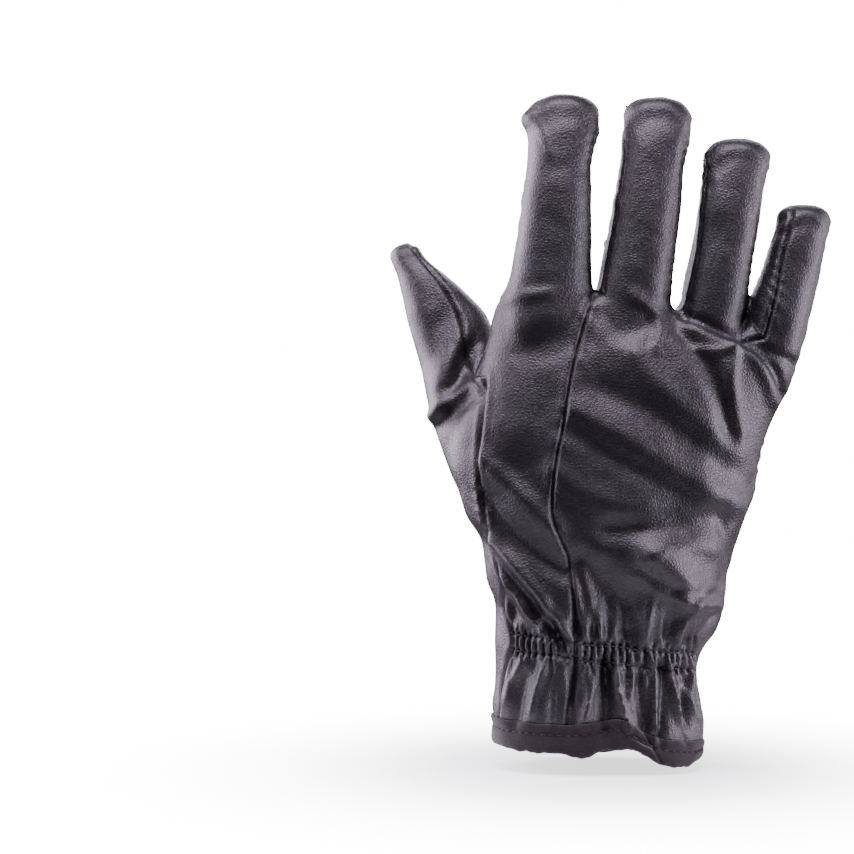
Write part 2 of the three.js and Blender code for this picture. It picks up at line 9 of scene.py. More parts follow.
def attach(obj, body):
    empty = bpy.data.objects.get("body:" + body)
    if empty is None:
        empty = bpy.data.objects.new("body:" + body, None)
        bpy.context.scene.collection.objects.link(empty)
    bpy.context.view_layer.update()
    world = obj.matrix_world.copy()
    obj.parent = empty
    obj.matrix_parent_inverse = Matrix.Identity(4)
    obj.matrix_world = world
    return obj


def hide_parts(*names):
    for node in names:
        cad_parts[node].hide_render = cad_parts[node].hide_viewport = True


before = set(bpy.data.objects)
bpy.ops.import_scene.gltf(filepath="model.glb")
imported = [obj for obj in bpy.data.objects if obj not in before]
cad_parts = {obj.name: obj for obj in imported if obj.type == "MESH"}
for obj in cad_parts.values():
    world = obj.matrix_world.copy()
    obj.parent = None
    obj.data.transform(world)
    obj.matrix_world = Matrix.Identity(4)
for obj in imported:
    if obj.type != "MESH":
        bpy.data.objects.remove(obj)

# A right-hand leather work glove with a padded palm, as worn. Sizes are in millimetres.
# +Z runs from the wrist to the fingertips, -Y faces the back of the hand, -X is the thumb's side.
for startup in ("Cube", "Light", "Camera"):    # what a new Blender file holds
    if startup in bpy.data.objects:
        bpy.data.objects.remove(bpy.data.objects[startup])
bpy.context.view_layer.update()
mm = 0.001
farOff = 50.0    # stands for any distance too large to matter


def table(columns, *lines):
    return dict(zip(columns.split(), np.array(lines, float).T))


# form of the hand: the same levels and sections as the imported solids
handRows = table(
    "z left right back palm",
    (0, -39.6, 39.8, -26, 26.5), (8, -39.8, 39.8, -26, 26.5), (14, -40.6, 40.4, -26, 26.3),
    (20, -39.5, 40, -25, 25.5), (30, -39.3, 38.3, -24, 25), (38, -39.8, 38, -23.5, 25),
    (45, -39.5, 41, -24.5, 26), (52, -39.3, 46, -26, 27), (60, -42, 48.5, -27, 28),
    (70, -43.6, 49.5, -27.5, 29), (80, -44.5, 52.5, -28, 30), (90, -50.3, 56.5, -28, 30),
    (100, -53, 60.5, -28, 30), (110, -56, 61.5, -27.5, 29.5), (120, -56.5, 64, -27, 28),
    (130, -53.5, 68.5, -26, 26.5), (140, -48, 74, -24.5, 24), (150, -44, 76, -22, 21),
    (158, -42, 71, -19.5, 18), (166, -40.5, 45, -17, 15), (172, -39, 15, -15, 13),
)
fingerRows = {
    "index": table(
        "z x wide deep lean",
        (138, -22, 11, 9, 0), (152, -20.3, 16.5, 13, 0), (166, -19, 17.8, 14.2, 0),
        (177, -18.3, 16.3, 13.5, 0), (192, -17.1, 14.8, 13, 0), (212, -15.8, 13.5, 12.5, 0),
        (227, -14.4, 12.4, 12, 0), (239, -12.6, 13.4, 11.5, 0), (246, -12.6, 12.8, 10.4, 0),
    ),
    "middle": table(
        "z x wide deep lean",
        (138, 8, 10, 9, 0), (152, 10.5, 13.5, 13, 0), (166, 12.8, 14.2, 14, 1),
        (177, 14.2, 14, 13.5, 3), (194, 16.8, 13.3, 13, 4), (211, 19.4, 12.9, 12.5, 1.5),
        (224, 21.1, 12.4, 12, 0), (235, 22.9, 12.8, 11.5, 0), (244, 23.6, 12.2, 10.6, 0),
    ),
    "ring": table(
        "z x wide deep lean",
        (130, 35, 9, 9, 0), (144, 38.5, 12, 12.5, 0), (157, 41, 12.6, 13, 1),
        (170, 44.2, 12, 12.8, 3), (182, 46.5, 11.8, 12.5, 4), (194, 48.8, 11.7, 12, 3),
        (209, 50.9, 12, 11.5, 0), (221, 53.1, 12.3, 11, 0), (228, 54.2, 12, 10.2, 0),
    ),
    "little": table(
        "z x wide deep lean",
        (122, 55, 6, 7, 0), (136, 60, 10.5, 11, 0), (150, 64.7, 12, 12, 0),
        (162, 67.8, 12, 12, 1), (170, 69.9, 12.2, 11.8, 1), (178, 72.2, 11.8, 11.2, 1),
        (186, 74.6, 11, 10.8, 0.5), (194, 76.8, 10.4, 10.3, 0), (203, 79.2, 9.7, 9.6, 0),
    ),
}
thumbRows = table(
    "z left right y deep",
    (84, -43, -20, 3, 13), (100, -53, -20, 5, 17), (115, -59.4, -24, 8, 18),
    (131, -64.4, -30, 11, 18), (146, -68, -36, 16, 16), (154, -70, -38, 19, 14.5),
    (162, -72.2, -39.5, 21.5, 13.5), (170, -74.2, -42.5, 23.5, 12.8), (177, -76, -49, 25.5, 12),
    (185, -77.8, -58, 27.5, 10.8), (192, -81, -67, 29.5, 8.5),
)
tipCorners = {    # where the ends of the seams stand out at the fingertips; side is -1 for left
    "index": table("z side reach spread", (243.5, -1, 4.2, 3.6), (247, 1, 1.4, 3), (239, 1, 0.9, 2.2),
                   (219, 1, 0.6, 1.8), (174, -1, 2.2, 3.2)),
    "middle": table("z side reach spread", (246, -1, 1.5, 2.4), (237, -1, 0.9, 2), (243.5, 1, 1.6, 2.4),
                    (236, 1, 0.5, 1.6)),
    "ring": table("z side reach spread", (228.5, -1, 1.3, 2.2), (222, -1, 0.7, 1.6), (229.5, 1, 1.3, 2.2),
                  (224, 1, 0.9, 1.6)),
    "little": table("z side reach spread", (207, -1, 1.2, 2), (203, 1, 1.4, 2.4), (197, 1, 0.5, 1.5)),
}
handForm = {
    "bottom": -18, "top": 175, "cuffSlant": 0.12, "slantFrom": 48, "slantTo": 95,
    "roundness": 2.45, "tips": {"index": 253.3, "middle": 252.4, "ring": 235.6, "little": 210},
    "tipRoundness": 2.6, "thumbTip": 197.4, "curlFrom": 165, "curlBase": -3, "curlRate": 0.0014,
    "cornerSharpness": 6,
    "closeFrom": 170, "step": 2.0, "around": 160, "fingerAround": 64, "gauge": 16,
    "voxel": 1.12, "relaxing": 9,
}

# where the panels are sewn together
seams = {
    "thumbBack": table(
        "z x", (-60, -38.5), (0, -38.5), (13, -38.1), (26, -37), (36, -34.7), (44, -32.7),
        (55, -36.2), (64, -37), (77, -40.8), (96, -44.9), (114, -46), (127, -45), (143, -43),
    ),
    "thumbPalm": table(
        "z x", (-60, -32.3), (4, -32.3), (50, -28.5), (73, -24.5), (100, -22), (134, -19),
        (144, -30), (150, -40),
    ),
    "index": table(
        "z x", (-60, -13.5), (13, -13.5), (26, -11.2), (37.5, -10.1), (52, -10.2), (63.6, -11.3),
        (76, -13.3), (82.6, -15.8), (91.6, -18.8), (103, -18.4), (114, -17), (127, -14.3),
        (142, -11.9), (155.6, -8.6), (167, -5.1), (174, -2.7), (190, -0.8), (215, 2), (260, 4.5),
    ),
    "thumbInner": table(
        "z x", (138, -40), (144, -44.3), (157, -49.3), (166, -52), (174, -56.2), (184, -63.9),
        (193, -72.4), (205, -82),
    ),
    "thumbFree": 144, "innerLean": 0.25, "innerFrom": 12,
    "stripHalf": 6, "stripDrop": 6, "stripTaper": 16, "stripFurther": 9, "crotches": [174, 167.5, 157],
    # the strips' seams that show on the backs of the middle, ring and little fingers
    "stripFront": [
        table("z x", (170, 1.5), (181, 2.3), (190, 3.1), (207, 5.0), (216, 3), (240, 5)),
        table("z x", (165, 31), (170.6, 32), (182, 33.9), (203, 37), (212, 38.9), (225, 41.5), (236, 39)),
        table("z x", (150, 59), (160.5, 62.8), (174.4, 66.6), (190, 69.7), (203, 73.2), (212, 74)),
    ],
    "deep": 1.0, "deepAside": 0.3, "wide": 0.7, "shoulder": 0.28, "shoulderAt": 2.1, "shoulderWide": 1.3,
    "pucker": 0.16, "puckerEvery": 6.5, "puckerWide": 3.2, "underTape": 0.45, "padEdge": 1.2,
    # faces are made finer this near a seam, as far past another seam, and this near a strip
    "fine": 2.4, "finePast": 2, "fineStrip": 5,
}
padOutline = np.array([
    (-24, 53.7), (-22.3, 73), (-19.8, 100), (-16.8, 134), (-27, 144), (-35.5, 150), (-35.5, 158),
    (-24, 164.7), (-12, 162.8), (-1, 166), (12.7, 163.8), (25, 165.3), (39, 160.3), (50, 156), (60, 152),
    (71, 146), (65, 125), (60, 100), (50.5, 75), (45, 56), (40, 51), (11, 50.6), (-19, 52.5),
])
hemBack = table(
    "x top low", (-60, 14, 3), (-40.5, 14, 3), (-34, 13.4, 2.4), (-26.8, 12.9, 2.1), (-15.7, 13, 1.8),
    (-7.2, 13.4, 0.4), (-0.9, 14.2, 3), (4.7, 14.8, 3.6), (10.3, 13.4, 3.8), (16, 10, 1.6),
    (21.8, 7.9, -1.8), (30.9, 5.8, -4), (36, 5.2, -3), (41, 5.2, -1.2), (60, 5.2, -1.2),
)
hemPalm = table(
    "x top low", (-60, 14, 2.7), (-41, 14, 2.7), (-24, 8.5, -2), (0, 7, -4.5), (14, 7, -3.5),
    (30, 7.5, -1.5), (41, 5.2, -1.2), (60, 5.2, -1.2),
)

# folds of the leather: each runs from a place through a middle to an end; valleys are negative
foldColumns = "x z midX midZ toX toZ wide high"
backFolds = table(
    foldColumns,
    # over the back of the hand, from the knuckles down to the elastic
    (14, 150, 30, 131, 49, 115, 5.2, 1.2), (1, 138, 22.5, 127.5, 56, 101.5, 5.7, -1.6),
    (-8, 129.5, 18, 113.5, 51, 95, 5.2, 1.3), (-9, 122, 9, 110.5, 33, 98.5, 4.8, -1.2),
    (-17, 107, -3.5, 98, 15, 92.5, 4.8, 1.1), (38, 110, 38, 103, 36.5, 96, 5.0, 0.8),
    (2, 86.5, 22, 87.8, 44, 91, 4.8, -2.0), (18, 77.5, 29, 80.5, 41, 79, 4.2, 1.6),
    (20, 75, 25.5, 71, 29, 63.5, 8.2, 5.0),
    (46.5, 86, 48.5, 77, 47, 66, 3, -1.3), (16, 70, 29, 63, 42, 60.5, 2.6, -0.9),
    (15, 68, 27.5, 60.3, 43, 57.2, 2.4, 1.3),
    (-8, 73, 2, 64, 9, 48, 6.5, -3.8), (-6, 61, 4, 59.5, 17, 60, 7.5, -1.8),
    (-11.4, 69, -9, 58, -6.6, 46, 1.5, 1.2),
    (-7.3, 70, -4, 59, -0.3, 47, 1.5, 1.1), (3, 62, 6, 55, 7.5, 46, 1.6, 0.8),
    (18.4, 59, 17.5, 52, 17, 45.5, 2.2, 1.6), (26, 60, 25.5, 53, 24.5, 46.3, 3.8, -2.4),
    (36.3, 58.7, 32, 52, 27.7, 46, 2.2, 1.7), (42.4, 52, 38, 46, 33.9, 42, 3.0, -1.7),
    # on the strip behind the index finger
    (-44, 111, -33, 101, -19.5, 87.5, 4.2, 2.2), (-42.5, 96, -32, 83.5, -15, 70, 4.2, -2.6),
    (-39.5, 80.5, -27.5, 66.5, -11.5, 45.5, 2.3, 2.3), (-36, 69, -25.5, 57, -16, 45, 2.4, -1.8),
    (-37, 67.5, -29.5, 57, -21, 45.5, 1.8, 1.8), (-35, 60, -31.5, 54, -28.5, 47, 2.0, -1.2),
    (-22, 136, -25, 124, -29, 110, 8, -1.2), (-40, 166, -30, 163, -20, 166, 4.5, 0.6),
    (-41, 171, -31, 173.5, -21, 175, 2.6, 0.9), (-36, 155, -24, 153, -10, 157, 5, -0.6),
    # from the crotches of the fingers
    (1, 167, 9, 160, 17, 163, 4.2, -0.85), (14, 172.5, 22, 165, 20.5, 155, 2.4, 1.1),
    (-2, 165, 6, 154, 17, 152, 3.0, 0.2), (33, 166.5, 42, 162.3, 51, 157.4, 1.9, -1.6),
    (35, 161.5, 41, 158.5, 50, 155.5, 2.4, 0.8),
    (29.5, 162, 41.5, 144, 48.6, 123.5, 3.8, -2.3), (50.2, 153, 48.6, 138, 52.3, 122, 3.0, 1.6),
    (37, 154, 45, 153, 52, 155.4, 2, 1.0), (54.6, 155.3, 66.2, 145.5, 69.4, 137.4, 1.9, -1.7),
    (56.7, 157.3, 66, 152, 72.8, 149, 2.2, -1.5), (58, 151, 63, 142, 66, 135, 2.6, 1.5),
    # below the elastic
    (-32.4, 31, -33.8, 27.5, -35, 22, 1.5, 1.5), (-23, 31, -24.5, 25.5, -26, 18, 1.6, 1.8),
    (-17.2, 34, -18, 25, -18.7, 16, 1.5, 1.4), (-2.3, 35, -3.5, 27, -6.5, 16, 1.5, 1.8),
    (6.0, 35, 6.5, 26, 9.4, 14, 1.35, 2.1), (12.5, 34, 12, 30, 10.5, 24, 1.3, 1.3),
    (19.6, 35, 19.8, 25, 19.4, 11, 1.35, 2.2), (26.0, 33, 27.6, 23, 32.5, 9, 1.4, 2.2),
    (30.5, 32, 32.5, 24, 36.5, 15, 1.2, 1.3), (35.3, 32, 38, 20, 40, 7, 1.9, 1.6),
    (-28.9, 29.5, -30.2, 24, -31.9, 15, 2.0, -2.1), (1.1, 33, 1.2, 24, 1, 13, 2.8, -2.9),
    (13.9, 31, 14.6, 23, 15.6, 13, 2.0, -2.5), (23.3, 34, 23, 22, 22.2, 9, 1.4, -2.1),
    (30.6, 30, 31.4, 20, 32.4, 9, 2.0, -2.4), (-12, 32, -11.5, 24, -11, 15, 1.8, -1.6),
)
palmFolds = table(
    foldColumns,
    # between the pad and the cuff
    (30, 42, 10, 34, -6, 43.5, 3.2, 2.4), (28, 46.5, 12, 41, -2, 47.5, 3, -1.6),
    (-22, 49, 0, 33, 22, 6, 4.6, 2.6), (-17, 42, -4, 22, 8, 6, 8, -2.8),
    (-16, 36, -21, 27, -24, 16, 5, 1.3), (37, 37, 30, 31, 20, 30, 4.5, -2.0),
    (38, 22, 31, 15, 22, 11, 6, 1.2),
    # on the pad and at the roots of the fingers
    (64, 138, 42, 112, 21, 88, 14, -1.0), (-14, 160, -20, 152, -27, 147, 3.6, -2.2),
    (-6, 155, -15, 146, -19, 138, 3.6, 1.2), (-34, 163, -36, 156, -33, 150, 3, 1.2),
    (76, 149.5, 65, 146, 53, 147, 3, -2.2), (77, 166, 73, 158, 67, 152.5, 4, 1.8),
    (-3, 170.5, -13, 167.3, -28, 170.5, 3, 1.6), (23.5, 170, 12.7, 168.3, 2, 170.5, 3, 1.5),
    (51, 160.5, 41, 165.3, 30, 170, 3, 1.4),
    (60, 160, 57, 156, 54, 152, 3, 1.4), (72, 141, 64, 138, 56, 140, 4, 1.0),
    # across the fingers
    (-31, 209, -23, 207.5, -15, 206, 2.6, -1.2), (-31, 200, -23, 199, -14, 197, 2.6, -1.3),
    (-31, 186, -22, 185, -13, 187, 2.8, -1.3), (-32, 176, -24, 175, -16, 172, 3, -1.0),
    (17, 193, 10, 194, 4, 196, 1.7, 1.0), (18, 196, 10, 197.2, 4, 199, 1.7, -1.0),
    (50, 176, 44, 173, 36, 172, 3, -0.8), (24, 176, 16, 174, 6, 170, 3, -0.9),
    (76, 176, 71, 173, 64, 170, 2.6, -0.9), (24, 214, 18, 213, 11, 214, 3.4, -0.7),
    (57, 200, 51, 198, 44, 199, 3.2, -0.7),
)
thumbFolds = table(
    foldColumns,
    (-53, 156, -59, 142, -62.5, 127, 3.6, 1.8), (-44, 142.5, -54, 138, -62, 129, 2.6, 1.6),
    (-50, 152, -52.5, 146, -56.5, 139, 4.5, -3.2), (-46, 137, -52, 133, -60, 126, 3, -1.6),
    (-66, 150, -62, 158, -60, 166, 4, -0.8), (-64, 120, -58, 112, -55, 100, 6, 0.9),
)
tipFolds = table(
    foldColumns,
    # the caps of the fingertips, bunched where the seams end
    (-26, 242.5, -14, 249, -1, 244, 2.4, 0.35), (-23, 238, -13, 242.5, -3, 239, 3, -0.3),
    (-26, 243, -22, 238, -19, 230, 1.8, 0.5), (-1, 241, -4, 235, -5, 228, 2, 0.35),
    (12.5, 242.5, 20, 248.5, 34.5, 240.5, 2.4, 0.35), (14, 238, 22, 243, 33, 236, 3, -0.3),
    (34, 242, 31, 234, 30, 226, 1.8, 0.35), (12, 240, 15, 233, 14.5, 224, 1.8, 0.35),
    (43.5, 226, 52, 231.5, 64.5, 224.5, 2.2, 0.35), (45, 222, 53, 226.5, 63, 220.5, 2.8, -0.3),
    (64.5, 225, 61, 217, 60, 208, 1.8, 0.35), (43, 224, 45, 216, 44, 208, 1.6, 0.35),
    (71.5, 201, 79, 206, 87, 198.5, 2.0, 0.35), (72, 197.5, 79, 201.5, 86, 195, 2.4, -0.25),
    (88, 200, 85, 193, 83, 186, 1.6, 0.35),
)
elastic = {
    "low": 36.3, "high": 42.4, "left": -34.5, "right": 37.2, "pleat": 2.9, "deep": 0.78,
    "bite": 0.85, "biteWide": 0.9, "drawIn": 0.5, "reach": 2.6, "flare": 7.3, "flareDeep": 1.15,
    "flareReach": 13, "fineFrom": 29, "fineTo": 50, "fineBack": -6,
}


def smooth(low, high, value):
    t = np.clip((value - low) / (high - low), 0, 1)
    return t * t * (3 - 2 * t)


def along(rows, column, level):
    # eased from row to row; the first column is what they are looked up by
    z, v = next(iter(rows.values())), rows[column]
    last = len(z) - 1
    level = np.clip(level, z[0], z[-1])
    i = np.clip(np.searchsorted(z, level, side="right") - 1, 0, last - 1)
    before = np.maximum(np.arange(last + 1) - 1, 0)
    after = np.minimum(np.arange(last + 1) + 1, last)
    slope = (v[after] - v[before]) / (z[after] - z[before])
    span = z[i + 1] - z[i]
    t = (level - z[i]) / span
    ease = t * t * (3 - 2 * t)
    return v[i] * (1 - ease) + v[i + 1] * ease + span * t * (1 - t) * ((1 - t) * slope[i] - t * slope[i + 1])


def spanAt(rows, level):
    # the middle of a section and half its breadth
    left, right = along(rows, "left", level), along(rows, "right", level)
    return (left + right) / 2, (right - left) / 2


def depthAt(level, onBackSide):
    return np.where(onBackSide, -along(handRows, "back", level), along(handRows, "palm", level))


def turns(count):
    return np.linspace(0, 2 * pi, count, endpoint=False)


def bulge(value):
    return np.sign(value) * np.abs(value) ** (2 / handForm["roundness"])


def curlAt(level):
    past = np.maximum(level - handForm["curlFrom"], 0)
    return handForm["curlBase"] + handForm["curlRate"] * past ** 2


def slantAt(level):
    return handForm["cuffSlant"] * (1 - smooth(handForm["slantFrom"], handForm["slantTo"], level))


def levelOf(x, z):
    # the hand's own level at a place, before the cuff was slanted
    level = z
    for _ in range(4):
        level = z + slantAt(level) * x
    return level


def sideY(level):
    return smooth(120, 150, level) * curlAt(level)


def foldHeight(folds, x, z):
    height = np.zeros_like(x)
    for x0, z0, xm, zm, x1, z1, wide, high in zip(*folds.values()):
        length = np.hypot(x1 - x0, z1 - z0)
        ux, uz = (x1 - x0) / length, (z1 - z0) / length
        bow = (zm - z0) * ux - (xm - x0) * uz
        run = (x - x0) * ux + (z - z0) * uz
        t = np.clip(run / length, 0, 1)
        side = (z - z0) * ux - (x - x0) * uz - 4 * bow * t * (1 - t)
        past = np.maximum(-run, np.maximum(run - length, 0))
        height += high * np.exp(-(side / wide) ** 2 - past ** 2 / (9 * wide))
    return height


bend = np.linspace(0, pi, 721)[:, None]
cuffArc = np.concatenate([40 * bulge(np.cos(bend)), 24.5 * bulge(np.sin(bend))], 1)
arcRun = np.append(0, np.cumsum(np.linalg.norm(np.diff(cuffArc, axis=0), axis=1)))


def rowWave(x):
    # the two stitched rows aren't quite straight
    return 0.25 * np.sin(x / 3.7)


def gather(x, level):
    # fine pleats between the two stitched rows, loosening into flares above and below them
    window = smooth(elastic["left"] - 3, elastic["left"] + 2, x)
    window *= 1 - smooth(elastic["right"] - 1, elastic["right"] + 1.5, x)
    x = np.interp(-x, -cuffArc[:, 0], arcRun[-1] / 2 - arcRun)    # measured along the cuff's curve
    away = np.abs(level - np.clip(level, elastic["low"], elastic["high"]))
    phase = 2 * pi * x / elastic["pleat"] + 1.3 * np.sin(x / 4.3) + 0.6 * np.sin(x / 2.1 + 2)
    uneven = 0.85 + 0.3 * np.sin(x / 5.3 + 1) * np.sin(x / 2.9)
    pleats = (2 * np.abs(np.cos(phase / 2)) ** 0.8 - 1) * uneven
    phase = 2 * pi * x / elastic["flare"] + 1.4 * np.sin(x / 6.1 + 0.5) + 0.9 * np.sin(x / 3.3)
    flare = np.cos(phase) * (1 - np.exp(-(away / elastic["reach"]) ** 2))
    flare = flare * np.exp(-(away / elastic["flareReach"]) ** 2)
    bite = 0
    for row in ("low", "high"):
        off = (level - elastic[row] - rowWave(x)) / elastic["biteWide"]
        bite = bite + np.exp(-off ** 2)
    lift = elastic["deep"] * pleats * np.exp(-(away / elastic["reach"]) ** 2)
    lift += elastic["flareDeep"] * flare - elastic["bite"] * bite
    lift -= elastic["drawIn"] * np.exp(-(away / 6) ** 2)
    return window * lift


def underTape(points):
    # the leather is pressed in where the binding is sewn over it
    return -seams["underTape"] * smooth(0.6, -0.8, points[:, 2] - hemLine(points, "top"))


def closedTube(rings):
    count, around = rings.shape[:2]
    verts = np.vstack([rings.reshape(-1, 3), rings[0].mean(0), rings[-1].mean(0)])
    low, i = np.meshgrid(np.arange(count - 1) * around, np.arange(around), indexing="ij")
    j = (i + 1) % around
    faces = np.stack([low + i, low + j, low + around + j, low + around + i], -1).reshape(-1, 4).tolist()
    top = (count - 1) * around
    for a in range(around):
        b = (a + 1) % around
        faces.append([count * around, b, a])
        faces.append([count * around + 1, top + a, top + b])
    return verts, faces


def ringLevels(first, last, tip, sharpness):
    # levels with the share of the section that is left: the last ones close the rounded tip
    steps = round((last - first) / handForm["step"])
    straight = np.arange(first, last + 0.01, (last - first) / steps)
    parts = np.array([0.2, 0.4, 0.55, 0.7, 0.8, 0.88, 0.94, 0.98])
    level = np.append(straight, np.full(len(parts), last))
    rise = np.append(np.zeros(len(straight)), (tip - last) * parts)
    shrink = np.append(np.ones(len(straight)), (1 - parts ** sharpness) ** (1 / sharpness))
    return level[:, None], rise[:, None], shrink[:, None]


def handTube():
    level, rise, shrink = ringLevels(handForm["bottom"], handForm["closeFrom"], handForm["top"], 2)
    angle = turns(handForm["around"])[None]
    middle, half = spanAt(handRows, level)
    x = middle + shrink * half * bulge(np.cos(angle))
    y = shrink * depthAt(level, np.sin(angle) < 0) * bulge(np.sin(angle))
    z = level + rise - slantAt(level) * x
    return closedTube(np.stack([x, y, z + 0 * angle], -1))


def fingerTube(name):
    rows = fingerRows[name]
    first, last = rows["z"][[0, -1]]
    level, rise, shrink = ringLevels(first, last, handForm["tips"][name], handForm["tipRoundness"])
    angle = turns(handForm["fingerAround"])[None]
    lean = along(rows, "lean", level) * np.maximum(np.sin(angle), 0)
    x = along(rows, "x", level) + along(rows, "wide", level) * shrink * bulge(np.cos(angle)) - lean
    z = level + rise + 0 * angle
    y = curlAt(z) + along(rows, "deep", level) * shrink * bulge(np.sin(angle))
    for at, side, reach, spread in zip(*tipCorners[name].values()):
        near = np.exp(-((z - at) / spread) ** 2)
        x += side * reach * near * np.maximum(side * np.cos(angle), 0) ** handForm["cornerSharpness"]
    return closedTube(np.stack([x, y, z], -1))


def thumbTube():
    first, last = thumbRows["z"][[0, -1]]
    level, rise, shrink = ringLevels(first, last, handForm["thumbTip"], 2)
    angle = turns(handForm["fingerAround"])[None]
    middle, half = spanAt(thumbRows, level)
    x = middle + shrink * half * bulge(np.cos(angle))
    y = along(thumbRows, "y", level) + along(thumbRows, "deep", level) * shrink * bulge(np.sin(angle))
    return closedTube(np.stack([x, y, level + rise + 0 * angle], -1))


def newObject(name, verts, faces, materials=()):
    mesh = bpy.data.meshes.new(name)
    faces = faces if isinstance(faces, list) else faces.tolist()
    mesh.from_pydata((np.asarray(verts) * mm).tolist(), [], faces)
    for material in materials:
        mesh.materials.append(material)
    piece = bpy.data.objects.new(name, mesh)
    bpy.context.scene.collection.objects.link(piece)
    return piece


def selectOnly(piece):
    bpy.ops.object.select_all(action="DESELECT")
    piece.select_set(True)
    bpy.context.view_layer.objects.active = piece


def faceOutwards(piece):
    selectOnly(piece)
    bpy.ops.object.mode_set(mode="EDIT")
    bpy.ops.mesh.select_all(action="SELECT")
    bpy.ops.mesh.normals_make_consistent(inside=False)
    bpy.ops.object.mode_set(mode="OBJECT")


def pointsOf(mesh):
    co = np.empty(len(mesh.vertices) * 3)
    mesh.vertices.foreach_get("co", co)
    return co.reshape(-1, 3) / mm


def movePoints(mesh, points):
    mesh.vertices.foreach_set("co", (points * mm).ravel())


def trianglesOf(mesh):
    mesh.calc_loop_triangles()
    tris = np.empty(len(mesh.loop_triangles) * 3, np.int32)
    mesh.loop_triangles.foreach_get("vertices", tris)
    return tris.reshape(-1, 3)


def sidesOf(tris):
    return np.vstack([tris[:, [0, 1]], tris[:, [1, 2]], tris[:, [2, 0]]]).astype(np.int64)


def edgesOf(tris):
    pairs = np.sort(sidesOf(tris), axis=1)
    many = int(pairs.max()) + 1
    keys = np.unique(pairs[:, 0] * many + pairs[:, 1])
    return np.stack([keys // many, keys % many], -1)


def relaxed(points, edges, times, free=None, strength=0.5):
    a, b = edges.T
    count = np.bincount(a, minlength=len(points)) + np.bincount(b, minlength=len(points))
    for _ in range(times):
        total = np.zeros_like(points)
        for k in range(3):
            total[:, k] = np.bincount(a, points[b, k], len(points))
            total[:, k] += np.bincount(b, points[a, k], len(points))
        move = strength * (total / np.maximum(count, 1)[:, None] - points)
        points = points + (move if free is None else move * free[:, None])
    return points


def normalsOf(points, tris):
    a, b, c = points[tris[:, 0]], points[tris[:, 1]], points[tris[:, 2]]
    flat = np.cross(b - a, c - a)
    normals = np.zeros_like(points)
    for k in range(3):
        for corner in range(3):
            normals[:, k] += np.bincount(tris[:, corner], flat[:, k], len(points))
    return normals / np.maximum(np.linalg.norm(normals, axis=1), 1e-12)[:, None]


def outlineDistance(points, outline):
    # distance to a closed outline seen from the front: negative inside it
    x, z = points[:, 0], points[:, 2]
    nearest = np.full(len(points), 1e9)
    inside = np.zeros(len(points), bool)
    for (ax, az), (bx, bz) in zip(outline, np.roll(outline, -1, axis=0)):
        dx, dz = bx - ax, bz - az
        t = np.clip(((x - ax) * dx + (z - az) * dz) / (dx * dx + dz * dz), 0, 1)
        nearest = np.minimum(nearest, np.hypot(x - ax - t * dx, z - az - t * dz))
        crosses = (az > z) != (bz > z)
        inside ^= crosses & (x < ax + (z - az) * dx / (dz if dz else 1))
    return np.where(inside, -nearest, nearest)


def roundedOutline(outline, cuts=3):
    # corners cut round by Chaikin's rule
    for _ in range(cuts):
        after = np.roll(outline, -1, axis=0)
        outline = np.stack([0.75 * outline + 0.25 * after, 0.25 * outline + 0.75 * after], 1).reshape(-1, 2)
    return outline


def gauge(across, through):
    # about how far outside a section a point lies: negative inside
    n = handForm["roundness"]
    return handForm["gauge"] * ((across ** n + through ** n) ** (1 / n) - 1)


def handGauge(points):
    x, y, z = points.T
    level = levelOf(x, z)
    middle, half = spanAt(handRows, level)
    inHand = gauge(np.abs(x - middle) / half, np.abs(y) / depthAt(level, y < 0))
    return inHand + np.maximum(z - 168, 0)


def thumbGauge(points):
    x, y, z = points.T
    middle, half = spanAt(thumbRows, z)
    through = np.abs(y - along(thumbRows, "y", z)) / along(thumbRows, "deep", z)
    return gauge(np.abs(x - middle) / half, through)


# each seam is where one of these fields is nought; a field's inside is negative
def thumbField(points):
    x, y, z = points.T
    seam = np.where(y < 0, along(seams["thumbBack"], "x", z), along(seams["thumbPalm"], "x", z))
    low = np.maximum(x - seam, z - seams["thumbFree"])
    free = np.maximum(thumbGauge(points) - handGauge(points), seams["thumbFree"] - 4 - z)
    return np.minimum(low, np.where(x < 0, free, farOff))


def thumbInnerField(points):
    x, y, z = points.T
    lean = seams["innerLean"] * (y - seams["innerFrom"])
    return np.maximum(along(seams["thumbInner"], "x", z) + lean - x, 138 - z)


def stripField(points, i):
    x, y, z = points.T
    left, right = [fingerRows[name] for name in list(fingerRows)[i:i + 2]]
    leftX, rightX = along(left, "x", z), along(right, "x", z)
    middle = (leftX + rightX) / 2
    high = np.where(x < middle, left["z"][-1], right["z"][-1])
    half = seams["stripHalf"] * (1 - smooth(high - seams["stripTaper"], high, z)) + 0.01
    crotch = seams["crotches"][i]
    off = y - sideY(z)
    # on the right-hand finger of the two, the strip comes round to the seam seen on its back
    front = np.maximum(x - along(seams["stripFront"][i], "x", z), crotch + 1 - z)
    front = np.where(x > middle, np.minimum(-off - half, front), -off - half)
    high = high + np.where((x > middle) & (off < 0), seams["stripFurther"], 0)
    low = crotch - seams["stripDrop"] - z
    return np.maximum.reduce([off - half, front, leftX - x, x - rightX, low, z - high])


def sideField(points):
    return points[:, 1] - sideY(points[:, 2])


def indexField(points):
    return points[:, 0] - along(seams["index"], "x", points[:, 2])


def hemLine(points, column):
    x, y = points[:, 0], points[:, 1]
    return np.where(y < 0, along(hemBack, column, x), along(hemPalm, column, x))


def hemField(points):
    return hemLine(points, "low") + 4 - points[:, 2]


def padField(points):
    return np.where(points[:, 1] > 0, outlineDistance(points, roundedOutline(padOutline)), farOff)


